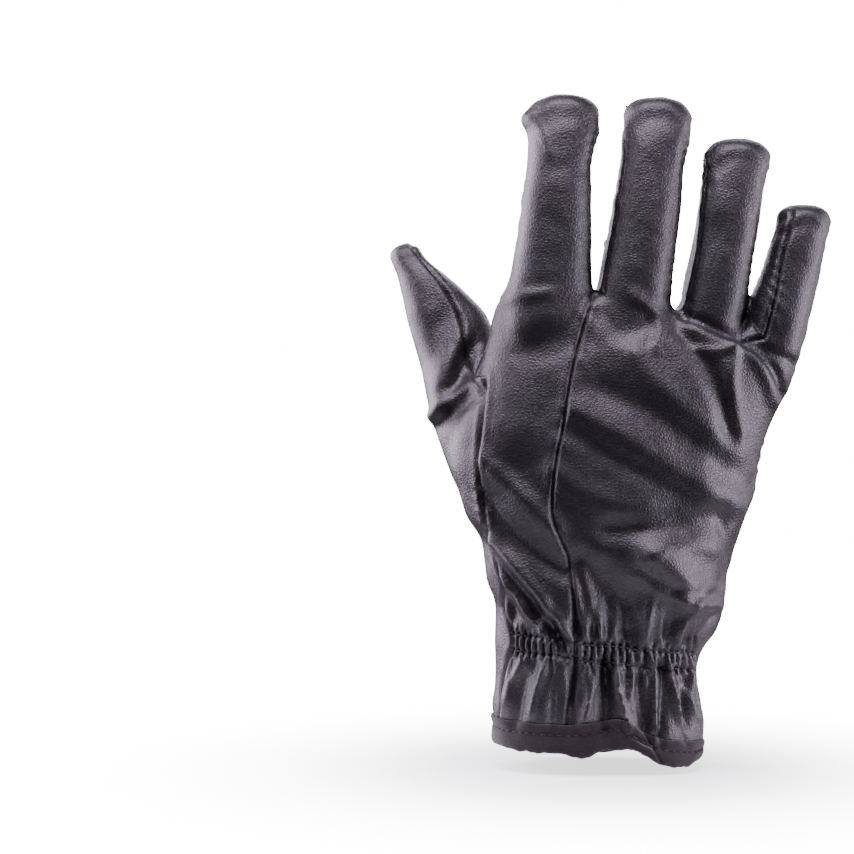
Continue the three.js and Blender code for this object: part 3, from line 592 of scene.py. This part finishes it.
def snapped(points, edges, field, allowed, fixed):
    # moves the nearer end of each edge that crosses a seam onto the seam
    value = field(points)
    a, b = edges.T
    crossing = (value[a] * value[b] < 0) & allowed[a] & allowed[b] & ~(fixed[a] & fixed[b])
    a, b = a[crossing], b[crossing]
    share = value[a] / (value[a] - value[b])
    moveA = np.where(fixed[a], False, np.where(fixed[b], True, share < 0.5))
    place = points[a] + share[:, None] * (points[b] - points[a])
    moved = np.where(moveA, a, b)
    total = np.stack([np.bincount(moved, place[:, k], len(points)) for k in range(3)], -1)
    count = np.bincount(moved, minlength=len(points))
    hit = count > 0
    points = points.copy()
    points[hit] = total[hit] / count[hit][:, None]
    value[hit] = 0
    return points, value, fixed | hit


print("form: joining the hand, the fingers and the thumb")
tubes = [handTube(), *(fingerTube(name) for name in fingerRows), thumbTube()]
allVerts, allFaces = [], []
for verts, faces in tubes:
    start = sum(len(v) for v in allVerts)
    allVerts.append(verts)
    allFaces += [[i + start for i in face] for face in faces]
skin = newObject("skin", np.vstack(allVerts), allFaces)
selectOnly(skin)
remesh = skin.modifiers.new("oneSkin", "REMESH")
remesh.mode = "VOXEL"
remesh.voxel_size = handForm["voxel"] * mm
bpy.ops.object.modifier_apply(modifier="oneSkin")
points = pointsOf(skin.data)
points = relaxed(points, edgesOf(trianglesOf(skin.data)), handForm["relaxing"])
movePoints(skin.data, points)

print("form: finer faces along the seams and in the elastic")
fromThumb, fromSide = thumbField(points), sideField(points)
fromStrips = [stripField(points, i) for i in range(3)]
past = seams["finePast"]
near = np.minimum.reduce([
    np.abs(fromThumb),
    np.abs(padField(points)),
    np.where(fromThumb < past, np.abs(thumbInnerField(points)), farOff),
    np.abs(fromSide) + np.maximum(-fromThumb - past, 0),
    *(np.where(far < seams["fineStrip"], np.abs(far), farOff) for far in fromStrips),
    np.where((fromSide < past) & (fromThumb > -past), np.abs(indexField(points)), farOff),
])
level = levelOf(points[:, 0], points[:, 2])
inBand = (points[:, 1] < elastic["fineBack"]) & (level > elastic["fineFrom"]) & (level < elastic["fineTo"])
wantFine = (near < seams["fine"]) | inBand
skin.data.vertices.foreach_set("select", wantFine)
faceVerts = [list(face.vertices) for face in skin.data.polygons]
skin.data.polygons.foreach_set("select", [bool(wantFine[f].all()) for f in faceVerts])
skin.data.edges.foreach_set("select", [False] * len(skin.data.edges))
selectOnly(skin)
bpy.context.tool_settings.mesh_select_mode = (False, False, True)
bpy.ops.object.mode_set(mode="EDIT")
bpy.ops.mesh.subdivide(number_cuts=1)
bpy.ops.object.mode_set(mode="OBJECT")
points, tris = pointsOf(skin.data), trianglesOf(skin.data)
edges = edgesOf(tris)
points = relaxed(points, edges, 4)
bpy.data.objects.remove(skin)
print("form:", len(points), "points,", len(tris), "triangles")

print("panels: moving points onto the seams")
everywhere = np.ones(len(points), bool)
onSeam = np.zeros(len(points), bool)
points, value, onSeam = snapped(points, edges, thumbField, everywhere, onSeam)
inThumb, outThumb = value <= 0, value >= 0
points, value, onSeam = snapped(points, edges, thumbInnerField, inThumb, onSeam)
stripSide = []
for i in range(3):
    points, value, onSeam = snapped(points, edges, lambda p: stripField(p, i), outThumb, onSeam)
    stripSide.append(value)
notStrip = np.minimum.reduce(stripSide) >= 0
points, value, onSeam = snapped(points, edges, sideField, outThumb & notStrip, onSeam)
onBack = value <= 0
points, value, onSeam = snapped(points, edges, indexField, outThumb & notStrip & onBack, onSeam)
points, value, onSeam = snapped(points, edges, hemField, everywhere, onSeam)
points, value, onSeam = snapped(points, edges, padField, outThumb & notStrip & ~onBack, onSeam)

panelNames = ["thumb_panel", "thumb_inner_panel", "finger_strip_index_middle", "finger_strip_middle_ring",
              "finger_strip_ring_little", "index_panel", "back_panel", "palm_panel"]
middles = points[tris].mean(1)
keep = hemField(middles) < 0
tris, middles = tris[keep], middles[keep]
number = {name: k for k, name in enumerate(panelNames)}
panel = np.full(len(tris), number["palm_panel"])
backFaces = sideField(middles) < 0
panel[backFaces] = number["back_panel"]
panel[backFaces & (indexField(middles) < 0)] = number["index_panel"]
for i in range(3):
    panel[stripField(middles, i) < 0] = number["finger_strip_index_middle"] + i
isThumb = thumbField(middles) < 0
panel[isThumb] = number["thumb_panel"]
panel[isThumb & (thumbInnerField(middles) < 0)] = number["thumb_inner_panel"]
underPad = (panel == number["palm_panel"]) & (padField(middles) < 0)
underPad &= sideField(middles) > seams["padEdge"]


def bordersOf(labels):
    # points where faces of different labels meet
    pairs = np.sort(sidesOf(tris), axis=1)
    keys = pairs[:, 0] * len(points) + pairs[:, 1]
    which = np.tile(labels, 3)
    order = np.argsort(keys, kind="stable")
    keys, which, pairs = keys[order], which[order], pairs[order]
    differ = (keys[1:] == keys[:-1]) & (which[1:] != which[:-1])
    return np.unique(pairs[1:][differ])


used = np.zeros(len(points), bool)
used[tris.ravel()] = True
edges = edgesOf(tris)
seamPoints = bordersOf(panel)
padBorder = bordersOf(underPad.astype(int))
free = np.ones(len(points))
free[seamPoints] = 0
free[padBorder] = 0
points = relaxed(points, edges, 4, free)


def distancesTo(chosen, queries):
    tree = KDTree(len(chosen))
    for k, p in enumerate(points[chosen]):
        tree.insert(p, k)
    tree.balance()
    return np.array([tree.find(p)[2] for p in queries])


print("leather: folds, gathers and sewn grooves")
normals = normalsOf(relaxed(points, edges, 3), tris)
seamFar = np.full(len(points), farOff)
seamFar[used] = distancesTo(seamPoints, points[used])
sewnDeep = seams["deepAside"] + (seams["deep"] - seams["deepAside"]) * normals[:, 1] ** 2


relief = {    # where the folds fade out, and the leather's broad unevenness as size, depth and seed
    "facing": (0.05, 0.5), "thumbFacing": (-0.2, 0.3), "handTop": 176, "thumbEdge": 1.5,
    "tips": (180, 186), "palmOnThumb": 0.7, "ripples": ((17, 0.55, 1), (6.5, 0.2, 2)),
}


def ripple(points, size, depth, seed):
    shift = Vector((seed * 17.3, seed * 5.1, seed * 9.7))
    return depth * np.array([noise.noise(Vector(p) / size + shift) for p in points])


def leatherLift(points, normals):
    x, z, out = points[:, 0], points[:, 2], normals[:, 1]
    toBack, toPalm = smooth(*relief["facing"], -out), smooth(*relief["facing"], out)
    inHand = smooth(5, -1, z - relief["handTop"])
    onThumb = smooth(relief["thumbEdge"], -relief["thumbEdge"], thumbField(points))
    lift = toBack * (1 - onThumb) * (foldHeight(backFolds, x, z) * inHand + gather(x, levelOf(x, z)))
    lift += toBack * smooth(*relief["tips"], z) * (1 - onThumb) * foldHeight(tipFolds, x, z)
    lift += toPalm * (1 - relief["palmOnThumb"] * onThumb) * foldHeight(palmFolds, x, z)
    lift += smooth(*relief["thumbFacing"], -out) * onThumb * foldHeight(thumbFolds, x, z)
    for values in relief["ripples"]:
        lift = lift + ripple(points, *values)
    return lift


lift = np.zeros(len(points))
lift[used] = leatherLift(points[used], normals[used]) + underTape(points[used])
lift[np.unique(tris[underPad])] = 0    # the pad covers these
sewn = -sewnDeep * np.exp(-(seamFar / seams["wide"]) ** 2)
sewn += seams["shoulder"] * np.exp(-((seamFar - seams["shoulderAt"]) / seams["shoulderWide"]) ** 2)
puckerRun = 2 * pi * (points[:, 2] + 0.7 * points[:, 0]) / seams["puckerEvery"]
pucker = np.sin(puckerRun + 3.5 * np.sin(points[:, 2] / 7.3) + 2 * np.sin(points[:, 0] / 5.1))
nearSeam = np.exp(-((seamFar - 1) / seams["puckerWide"]) ** 2)
pucker *= nearSeam * (0.5 + 0.5 * np.sin(points[:, 2] / 11 + points[:, 0] / 6))
lift += sewn + seams["pucker"] * pucker
leather = points + normals * lift[:, None]

print("materials: leather, backing, tape and thread")


def fromHex(code):
    parts = [int(code[i:i + 2], 16) / 255 for i in (1, 3, 5)]
    return (*(c / 12.92 if c <= 0.04045 else ((c + 0.055) / 1.055) ** 2.4 for c in parts), 1.0)


def setNode(tree, node, settings=None, links=None):
    for key, setting in (settings or {}).items():
        if isinstance(key, int) or key in node.inputs:
            node.inputs[key].default_value = setting
        else:
            setattr(node, key, setting)
    for key, source in (links or {}).items():
        tree.links.new(source, node.inputs[key])
    return node


def addNode(tree, kind, settings=None, links=None):
    return setNode(tree, tree.nodes.new("ShaderNode" + kind), settings, links)


def newMaterial(name):
    material = bpy.data.materials.new(name)
    material.use_nodes = True
    tree = material.node_tree
    tree.nodes.clear()
    surface = addNode(tree, "BsdfPrincipled")
    addNode(tree, "OutputMaterial", links={"Surface": surface.outputs["BSDF"]})
    place = addNode(tree, "TexCoord")
    inMm = addNode(tree, "Mapping", {"Scale": (1000, 1000, 1000)}, {"Vector": place.outputs["Object"]})
    return material, tree, surface, inMm.outputs["Vector"], place


# Polyurethane-coated leather, embossed: a satin film over a pebbled grain, whose tops catch the light
coatedLeather = {
    "dark": "#0c090f", "light": "#151119", "groove": "#070608", "grain": 1.2, "pore": 0.6,
    "rough": 0.4, "roughGroove": 0.5, "grainHigh": 0.082, "creaseHigh": 0.06,
}


def makeLeather(name, values):
    material, tree, surface, inMm, _ = newMaterial(name)
    onGlove = {"Vector": inMm}
    drift = addNode(tree, "TexNoise", {"Scale": 0.35, "Detail": 2.0}, onGlove)
    bent = addNode(tree, "VectorMath", {"operation": "MULTIPLY_ADD", 1: (0.9, 0.9, 0.9)},
                   {0: drift.outputs["Color"], 2: inMm})
    cells = addNode(tree, "TexVoronoi", {"feature": "DISTANCE_TO_EDGE", "Scale": 1 / values["grain"],
                    "Randomness": 0.95}, {"Vector": bent.outputs["Vector"]})
    pebble = addNode(tree, "MapRange", {"interpolation_type": "SMOOTHSTEP", "From Min": 0.0,
                     "From Max": 0.34}, {"Value": cells.outputs["Distance"]})
    top = pebble.outputs["Result"]
    pores = addNode(tree, "TexNoise", {"Scale": 1 / values["pore"], "Detail": 2.0}, onGlove)
    broad = addNode(tree, "TexNoise", {"Scale": 0.06, "Detail": 4.0, "Roughness": 0.6}, onGlove)
    creases = addNode(tree, "TexNoise", {"Scale": 0.28, "Detail": 3.0, "Distortion": 0.6}, onGlove)
    tone = addNode(tree, "Mix", {"data_type": "RGBA", 6: fromHex(values["dark"]),
                   7: fromHex(values["light"])}, {0: broad.outputs["Fac"]})
    # the hollows between the pebbles take the darker groove colour: painted shade in the grain, over the
    # leather's own random tone
    colour = addNode(tree, "Mix", {"data_type": "RGBA", 6: fromHex(values["groove"])},
                     {0: top, 7: tone.outputs[2]})
    rough = addNode(tree, "MapRange", {"To Min": values["roughGroove"], "To Max": values["rough"]},
                    {"Value": top})
    soft = addNode(tree, "Math", {"operation": "MULTIPLY_ADD", 1: 0.12}, {0: pores.outputs["Fac"], 2: top})
    grain = addNode(tree, "Bump", {"Strength": 1.0, "Distance": values["grainHigh"] * mm},
                    {"Height": soft.outputs["Value"]})
    crease = addNode(tree, "Bump", {"Strength": 1.0, "Distance": values["creaseHigh"] * mm},
                     {"Height": creases.outputs["Fac"], "Normal": grain.outputs["Normal"]})
    setNode(tree, surface, {"Specular IOR Level": 0.62}, {"Base Color": colour.outputs[2],
            "Roughness": rough.outputs["Result"], "Normal": crease.outputs["Normal"]})
    return material


# The leather's backing seen inside the glove: brushed knit scrim, quite matt
backing = {"dark": "#232125", "light": "#343136", "fibre": 0.7, "high": 0.12}


def makeBacking(name, values):
    material, tree, surface, inMm, _ = newMaterial(name)
    fibres = addNode(tree, "TexNoise", {"Scale": 1 / values["fibre"], "Detail": 5.0, "Roughness": 0.7},
                     {"Vector": inMm})
    colour = addNode(tree, "Mix", {"data_type": "RGBA", 6: fromHex(values["dark"]),
                     7: fromHex(values["light"])}, {0: fibres.outputs["Fac"]})
    bump = addNode(tree, "Bump", {"Distance": values["high"] * mm}, {"Height": fibres.outputs["Fac"]})
    setNode(tree, surface, {"Roughness": 0.95},
            {"Base Color": colour.outputs[2], "Normal": bump.outputs["Normal"]})
    return material


# Woven polyester-cotton tape: plain weave, matt and slightly fuzzy, threads drawn at 0.6 mm to show
wovenTape = {"dark": "#110d0f", "light": "#261e21", "thread": 0.6, "high": 0.08}


def makeTape(name, values):
    material, tree, surface, inMm, place = newMaterial(name)
    alongTape = addNode(tree, "Mapping", {"Scale": (1 / values["thread"], 1 / values["thread"], 1)},
                        {"Vector": place.outputs["UV"]})
    warp, weft = [addNode(tree, "TexWave", {"bands_direction": way, "Scale": 0.314, "Distortion": 0.5,
                  "Detail": 1.0}, {"Vector": alongTape.outputs["Vector"]}) for way in "XY"]
    weave = addNode(tree, "Math", {"operation": "MULTIPLY"},
                    {0: warp.outputs["Fac"], 1: weft.outputs["Fac"]})
    fuzz = addNode(tree, "TexNoise", {"Scale": 2.2, "Detail": 4.0, "Roughness": 0.7}, {"Vector": inMm})
    worn = addNode(tree, "TexNoise", {"Scale": 0.18, "Detail": 3.0}, {"Vector": inMm})
    height = addNode(tree, "Math", {"operation": "MULTIPLY_ADD", 1: 0.8},
                     {0: fuzz.outputs["Fac"], 2: weave.outputs["Value"]})
    # the colour follows the weave's height, so the hollows between threads are painted darker (painted
    # shade), times a broad random tone for wear
    shade = addNode(tree, "Math", {"operation": "MULTIPLY"},
                    {0: height.outputs["Value"], 1: worn.outputs["Fac"]})
    colour = addNode(tree, "Mix", {"data_type": "RGBA", 6: fromHex(values["dark"]),
                     7: fromHex(values["light"])}, {0: shade.outputs["Value"]})
    bump = addNode(tree, "Bump", {"Distance": values["high"] * mm}, {"Height": height.outputs["Value"]})
    setNode(tree, surface, {"Roughness": 0.9, "Sheen Weight": 0.2, "Sheen Roughness": 0.5,
            "Specular IOR Level": 0.25}, {"Base Color": colour.outputs[2], "Normal": bump.outputs["Normal"]})
    return material


# Bonded nylon sewing thread, three-ply: a fine twist and a dull shine
sewingThread = {"colour": "#0e0d10", "ply": 0.5, "high": 0.05}


def makeThread(name, values):
    material, tree, surface, inMm, _ = newMaterial(name)
    twist = addNode(tree, "TexWave", {"bands_direction": "DIAGONAL", "Scale": 0.628 / values["ply"]},
                    {"Vector": inMm})
    bump = addNode(tree, "Bump", {"Distance": values["high"] * mm}, {"Height": twist.outputs["Fac"]})
    setNode(tree, surface, {"Base Color": fromHex(values["colour"]), "Roughness": 0.6},
            {"Normal": bump.outputs["Normal"]})
    return material


leatherMaterial = makeLeather("coated leather, embossed grain", coatedLeather)
padMaterial = makeLeather("coated leather, stretched over the pad",
                          {**coatedLeather, "dark": "#0d0b10", "light": "#17141c", "creaseHigh": 0.04})
backingMaterial = makeBacking("brushed scrim backing", backing)
tapeMaterial = makeTape("woven binding tape", wovenTape)
threadMaterial = makeThread("bonded nylon thread", sewingThread)

print("panels: giving the leather its thickness")
wall = {"thick": 1.2, "angle": 62}
for k, name in enumerate(panelNames):
    ids, local = np.unique(tris[panel == k], return_inverse=True)
    faces = local.reshape(-1, 3)
    piece = newObject("leather_" + name, leather[ids], faces, [leatherMaterial, backingMaterial])
    thicken = piece.modifiers.new("wall", "SOLIDIFY")
    thicken.thickness = wall["thick"] * mm
    thicken.offset = -1
    thicken.material_offset = 1
    selectOnly(piece)
    bpy.ops.object.modifier_apply(modifier="wall")
    bpy.ops.object.shade_smooth_by_angle(angle=radians(wall["angle"]))
    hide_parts(name)
    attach(piece, "root")
    print("  ", name, len(trianglesOf(piece.data)), "triangles")

print("pad: swelling it between its sewn edges")
padForm = {
    "under": 0.15, "rim": 0.45, "start": 2.6, "round": 3.0, "pressure": 400,
    "frames": 20, "cap": 1.5, "mass": 0.01, "fill": 0.55, "tension": 15, "bending": 0.5,
    "ripple": (15, 0.5, 3), "pucker": 0.25, "puckerEvery": 6.8, "puckerWide": 2.2,
}
ids, local = np.unique(tris[underPad], return_inverse=True)
local = local.reshape(-1, 3)
count = len(ids)
pairs = sidesOf(local)
keys = np.sort(pairs, axis=1) @ np.array([count, 1])
_, first, times = np.unique(keys, return_index=True, return_counts=True)
rimPairs = pairs[first[times == 1]]
rim = np.unique(rimPairs)
inward = distancesTo(ids[rim], points[ids])
lie, outward = points[ids], normals[ids]
height = padForm["rim"] + padForm["start"] * (1 - np.exp(-inward / padForm["round"]))
topSheet = lie + outward * height[:, None]
underSheet = lie + outward * padForm["under"]
edgeFaces = [[int(p), int(p) + count, int(q) + count, int(q)] for p, q in rimPairs]
padFaces = local.tolist() + (local[:, ::-1] + count).tolist() + edgeFaces
pad = newObject("leather_palm_pad", np.vstack([topSheet, underSheet]), padFaces, [padMaterial])
faceOutwards(pad)
start = pointsOf(pad.data)
pinned = pad.vertex_groups.new(name="sewn")
pinned.add([*rim.tolist(), *range(count, 2 * count)], 1.0, "REPLACE")
cloth = pad.modifiers.new("swell", "CLOTH")
cloth.settings.vertex_group_mass = "sewn"
cloth.settings.use_pressure = True
cloth.settings.uniform_pressure_force = padForm["pressure"]
cloth.settings.mass = padForm["mass"]
cloth.settings.effector_weights.gravity = 0
cloth.settings.tension_stiffness = padForm["tension"]
cloth.settings.bending_stiffness = padForm["bending"]
cloth.point_cache.frame_start = 1
cloth.point_cache.frame_end = padForm["frames"]
for step in range(1, padForm["frames"] + 1):
    bpy.context.scene.frame_set(step)
swollen = pad.evaluated_get(bpy.context.evaluated_depsgraph_get()).to_mesh()
moved = pointsOf(swollen) - start
far = np.linalg.norm(moved, axis=1)
print(f"pad: moved {far.max():.2f} mm at most, {far[:count].mean():.2f} on average")
moved *= np.minimum(1, padForm["cap"] / np.maximum(far, 1e-9))[:, None]
pad.modifiers.clear()
pad.vertex_groups.clear()
bpy.context.scene.frame_set(1)
movePoints(pad.data, start + moved)
selectOnly(pad)
padTop = pointsOf(pad.data)
padNormals = normalsOf(padTop, trianglesOf(pad.data))
inward = np.append(inward, np.zeros(count))
lift = foldHeight(palmFolds, padTop[:, 0], padTop[:, 2]) * smooth(0.5, 4, inward)
lift += ripple(padTop, *padForm["ripple"]) * smooth(0.5, 6, inward)
run = (padTop[:, 0] * 0.8 + padTop[:, 2]) * 2 * pi / padForm["puckerEvery"]
pucker = padForm["pucker"] * np.sin(run + 1.5 * np.sin(padTop[:, 0] / 8))
lift += pucker * np.exp(-((inward - 2) / padForm["puckerWide"]) ** 2)
lift[count:] = 0    # the underside lies flat on the palm
padTop += padNormals * lift[:, None]
movePoints(pad.data, padTop)
bpy.ops.object.shade_smooth()
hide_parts("palm_pad")
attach(pad, "root")

print("binding: tape folded over the hem")
tape = {"around": 560, "out": 1.05, "in": 1.1, "roll": 0.5, "dimple": 0.55, "stitchDown": 3.8,
        "joint": 0.6, "jointGroove": 0.6, "grooveWide": 0.42, "jointX": 15.8, "jointZ": 9,
        "level": 5.0, "measured": 4000, "closing": 3}


def cuffPlace(angle, z):
    x = np.zeros_like(angle * z)
    for _ in range(4):
        level = z + handForm["cuffSlant"] * x
        middle, half = spanAt(handRows, level)
        x = middle + half * bulge(np.cos(angle))
    y = depthAt(level, np.sin(angle) < 0) * bulge(np.sin(angle))
    return np.stack([x, y + 0 * z, z + 0 * angle], -1)


many = turns(tape["measured"])
hemRing = cuffPlace(many, np.full(len(many), tape["level"]))
run = np.append(0, np.cumsum(np.linalg.norm(np.diff(hemRing, axis=0), axis=1)))
tapeLong = run[-1] + np.linalg.norm(hemRing[0] - hemRing[-1])
at = np.arange(tape["around"]) * tapeLong / tape["around"]
angles = np.interp(at, run, many)


def tapeJoint(places):
    # the tape's end laps over its start, cut on the slant: 12 down for 6.5 across
    x, y, z = places.T
    past = (12 * (x - tape["jointX"]) + 6.5 * (z - tape["jointZ"])) / 13.65
    step = tape["joint"] * smooth(0.35, -0.35, past) * smooth(-15, -7, past)
    groove = tape["jointGroove"] * np.exp(-((past - 0.4) / tape["grooveWide"]) ** 2)
    return (step - groove) * (y < 0)


def tapeGrid(profile):
    # profile rows: height above the low edge or below the top edge, and offset from the leather
    middle = cuffPlace(angles, np.full(len(angles), tape["level"]))
    top, low = hemLine(middle, "top"), hemLine(middle, "low")
    top = top + 0.25 * np.sin(at / 5.1) + 0.15 * np.sin(at / 1.9 + 1)
    low = low + 0.22 * np.sin(at / 2.3 + 2 * np.sin(at / 5.3))
    low = low + 0.12 * np.sin(at / 0.8 + 2 * np.sin(at / 3.1))
    rings = []
    for fromTop, fromLow, offset in profile:
        z = top - fromTop if fromLow is None else low + fromLow
        place = cuffPlace(angles, z)
        ahead, behind = np.roll(place, -1, axis=0), np.roll(place, 1, axis=0)
        above = cuffPlace(angles, z + 1)
        normal = np.cross(ahead - behind, above - place)
        normal /= np.linalg.norm(normal, axis=1)[:, None]
        joint = tapeJoint(place) if offset > 0 else 0
        lift = leatherLift(place, normal) - seams["underTape"] + joint
        rings.append(place + normal * (lift + offset)[:, None])
    return np.stack(rings, 1)


o, n = tape["out"], -wall["thick"] - tape["in"]    # the tape's outer and inner faces
tapeProfile = [
    (0.15, None, 0.06), (-0.15, None, 0.5), (-0.05, None, o), (0.5, None, o + 0.35),
    (1.2, None, o + tape["roll"]), (2.0, None, o + 0.3), (2.7, None, o - 0.05), (3.3, None, o - 0.2),
    (tape["stitchDown"], None, o - tape["dimple"]),
    (4.3, None, o - 0.2), (5.0, None, o + 0.05), (None, 3.9, o + 0.25), (None, 2.8, o + 0.35),
    (None, 1.8, o + 0.3), (None, 0.9, o), (None, 0.3, o - 0.6), (None, 0.0, o - 1.4), (None, 0.1, n + 0.8),
    (None, 0.7, n + 0.2), (None, 1.8, n - 0.1), (None, 3.2, n), (4.5, None, n), (3.0, None, n),
    (1.8, None, n - 0.05), (1.2, None, n + 0.2), (1.1, None, n + 0.6), (1.5, None, -1.3), (3.2, None, -1.32),
    (None, 3.65, -1.32), (None, 3.5, -0.6), (None, 3.65, 0.08), (3.4, None, 0.08),
]
rings = tapeGrid(tapeProfile)
sides = rings.shape[1]
tapeFaces = []
for i in range(tape["around"]):
    j = (i + 1) % tape["around"]
    for k in range(sides):
        m = (k + 1) % sides
        tapeFaces.append([i * sides + k, i * sides + m, j * sides + m, j * sides + k])
binding = newObject("woven_cuff_binding", rings.reshape(-1, 3), tapeFaces, [tapeMaterial])
across = np.append(0, np.cumsum(np.linalg.norm(np.diff(rings, axis=1), axis=2).mean(0)))
layer = binding.data.uv_layers.new(name="tape")
places = []
for i in range(tape["around"]):
    u0, u1 = at[i], at[i] + tapeLong / tape["around"]
    for k in range(sides):
        v0, v1 = across[k], across[k + 1] if k + 1 < sides else across[k] + tape["closing"]
        places += [u0, v0, u0, v1, u1, v1, u1, v0]
layer.data.foreach_set("uv", places)
faceOutwards(binding)
bpy.ops.object.shade_smooth()
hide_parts("cuff_binding")
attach(binding, "root")

print("stitches")
stitch = {"long": 2.1, "every": 2.7, "padEvery": 2.9, "hemEvery": 3.1, "hemShare": 0.78, "thick": 0.34,
          "around": 6}
skinTree = BVHTree.FromPolygons(leather.tolist(), tris.tolist())


def sewRow(name, stitches):
    # each stitch is a short rounded thread between two holes: its start, its end and the way it faces
    shape = [(0.0, 0.05, -0.3), (0.06, 0.8, -0.12), (0.3, 1.0, 0.1), (0.7, 1.0, 0.1), (0.94, 0.8, -0.12),
             (1.0, 0.05, -0.3)]
    n = stitch["around"]
    verts, faces = [], []
    for a, b, up in stitches:
        run = b - a
        side = np.cross(run, up)
        side /= np.linalg.norm(side)
        base = len(verts)
        for share, thick, rise in shape:
            for t in 2 * pi * np.arange(n) / n:
                off = stitch["thick"] * thick * (np.cos(t) * side + np.sin(t) * up)
                verts.append(a + share * run + off + up * rise)
        for p in range(base, len(verts) - n, n):
            faces += [[p + k, p + (k + 1) % n, p + n + (k + 1) % n, p + n + k] for k in range(n)]
        faces.append([base + k for k in range(n)][::-1])
        faces.append([len(verts) - n + k for k in range(n)])
    piece = newObject(name, verts, faces, [threadMaterial])
    faceOutwards(piece)
    bpy.ops.object.shade_smooth()
    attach(piece, "root")


def onLeather(x, z, side, proud):
    hit = skinTree.ray_cast(Vector((x, side * 200, z)), Vector((0, -side, 0)))[0]
    return np.array(hit) + (0, side * proud, 0)


def acrossLeather(lefts, heightAt, side, proud=0.0):
    # stitches one after the other across the back, side -1, or the palm, side 1
    stitches = []
    for left in lefts:
        ends = [onLeather(x, heightAt(x), side, proud) for x in (left, left + stitch["long"])]
        stitches.append((*ends, np.array((0, side, 0))))
    return stitches


stitches = []
for row in ("low", "high"):
    lefts = np.arange(elastic["left"], elastic["right"] - 1, stitch["every"])
    stitches += acrossLeather(lefts, lambda x: elastic[row] + rowWave(x) - handForm["cuffSlant"] * x, -1)
sewRow("stitches_elastic", stitches)

# the row that closes the lower edge of the pad
padRow = table("x z", (-24, 53.7), (-19, 52.5), (11, 50.6), (40, 51), (46, 52))
lefts = np.arange(-21.5, 40.5, stitch["padEvery"])
sewRow("stitches_pad", acrossLeather(lefts, lambda x: along(padRow, "z", x), 1, padForm["rim"]))

hemRow = tapeGrid([(tape["stitchDown"], None, o - tape["dimple"] + 0.12), (tape["stitchDown"], None, o + 1)])
hemRun, hemOut = hemRow[:, 0], hemRow[:, 1] - hemRow[:, 0]
hemOut /= np.linalg.norm(hemOut, axis=1)[:, None]
stride = tape["around"] / (tapeLong / stitch["hemEvery"])
stitches = []
for k in np.arange(0, tape["around"] - stride, stride):
    i, j = int(round(k)), int(round(k + stitch["hemShare"] * stride))
    stitches.append((hemRun[i], hemRun[j], hemOut[i]))
sewRow("stitches_hem", stitches)

print("studio: floor, lights and camera")
# floor and soft studio light
floorForm = {"level": -6.2, "wide": 9000, "fadeFrom": 40.0, "fadeTo": 200.0, "cover": 0.9}
bpy.ops.mesh.primitive_plane_add(size=floorForm["wide"] * mm, location=(0, 0, floorForm["level"] * mm))
floor = bpy.context.object
floor.name = "floor"
floorMaterial, tree, surface, inMm, _ = newMaterial("pale matt paper")
setNode(tree, surface, {"Base Color": fromHex("#f2f2f3"), "Roughness": 0.9})
# the paper fades out well away from the glove, so that no horizon shows
away = addNode(tree, "VectorMath", {"operation": "LENGTH"}, {0: inMm})
fade = addNode(tree, "MapRange", {"interpolation_type": "SMOOTHSTEP", "From Min": floorForm["fadeFrom"],
               "From Max": floorForm["fadeTo"], "To Min": floorForm["cover"], "To Max": 0.0},
               {"Value": away.outputs["Value"]})
clear = addNode(tree, "BsdfTransparent")
paper = addNode(tree, "MixShader", links={0: fade.outputs["Result"], 1: clear.outputs["BSDF"],
                2: surface.outputs["BSDF"]})
setNode(tree, tree.nodes["Material Output"], links={"Surface": paper.outputs["Shader"]})
floor.data.materials.append(floorMaterial)

lampColour = (0.95, 0.84, 1.0)
studio = {    # where each soft box stands and its size, both in metres, and its power in watts
    "left": ((-0.95, 0.06, 0.3), (0.6, 1.0), 18), "right": ((0.88, -0.21, 0.15), (0.6, 0.9), 20),
    "above": ((-0.1, -0.33, 1.08), (0.9, 0.6), 23), "rim": ((-0.75, 0.6, 0.4), (0.5, 0.9), 18),
    "farRim": ((0.8, 0.6, 0.3), (0.3, 0.9), 3), "palm": ((0.1, 0.95, 0.5), (0.8, 0.6), 9),
}
for name, (place, size, power) in studio.items():
    bpy.ops.object.light_add(type="AREA", location=place)
    lamp = bpy.context.object
    lamp.name = "softbox_" + name
    lamp.data.shape = "RECTANGLE"
    lamp.data.size, lamp.data.size_y = size
    lamp.data.energy = power
    lamp.data.color = lampColour
    aim = Vector((0, 0, 0.12)) - Vector(place)
    lamp.rotation_euler = aim.to_track_quat("-Z", "Y").to_euler()
world = bpy.context.scene.world or bpy.data.worlds.new("studio")
bpy.context.scene.world = world
world.use_nodes = True
sky = world.node_tree
sky.nodes.clear()
# the white backdrop is bright where it is seen, and hardly lights the glove
skyGlow = {"onGlove": 0.005, "seen": 16.0}
rays = addNode(sky, "LightPath")
glow = addNode(sky, "MapRange", {"To Min": skyGlow["onGlove"], "To Max": skyGlow["seen"]},
               {"Value": rays.outputs["Is Camera Ray"]})
backdrop = addNode(sky, "Background", {"Color": (1, 1, 1, 1)}, {"Strength": glow.outputs["Result"]})
addNode(sky, "OutputWorld", links={"Surface": backdrop.outputs["Background"]})

# camera at the photograph's angle
view = {"x": -65.5, "y": -850, "z": 124.4, "seen": 328.8}
bpy.ops.object.camera_add(location=(view["x"] * mm, view["y"] * mm, view["z"] * mm), rotation=(pi / 2, 0, 0))
camera = bpy.context.object
camera.data.lens = camera.data.sensor_width * -view["y"] / view["seen"]
bpy.context.scene.camera = camera
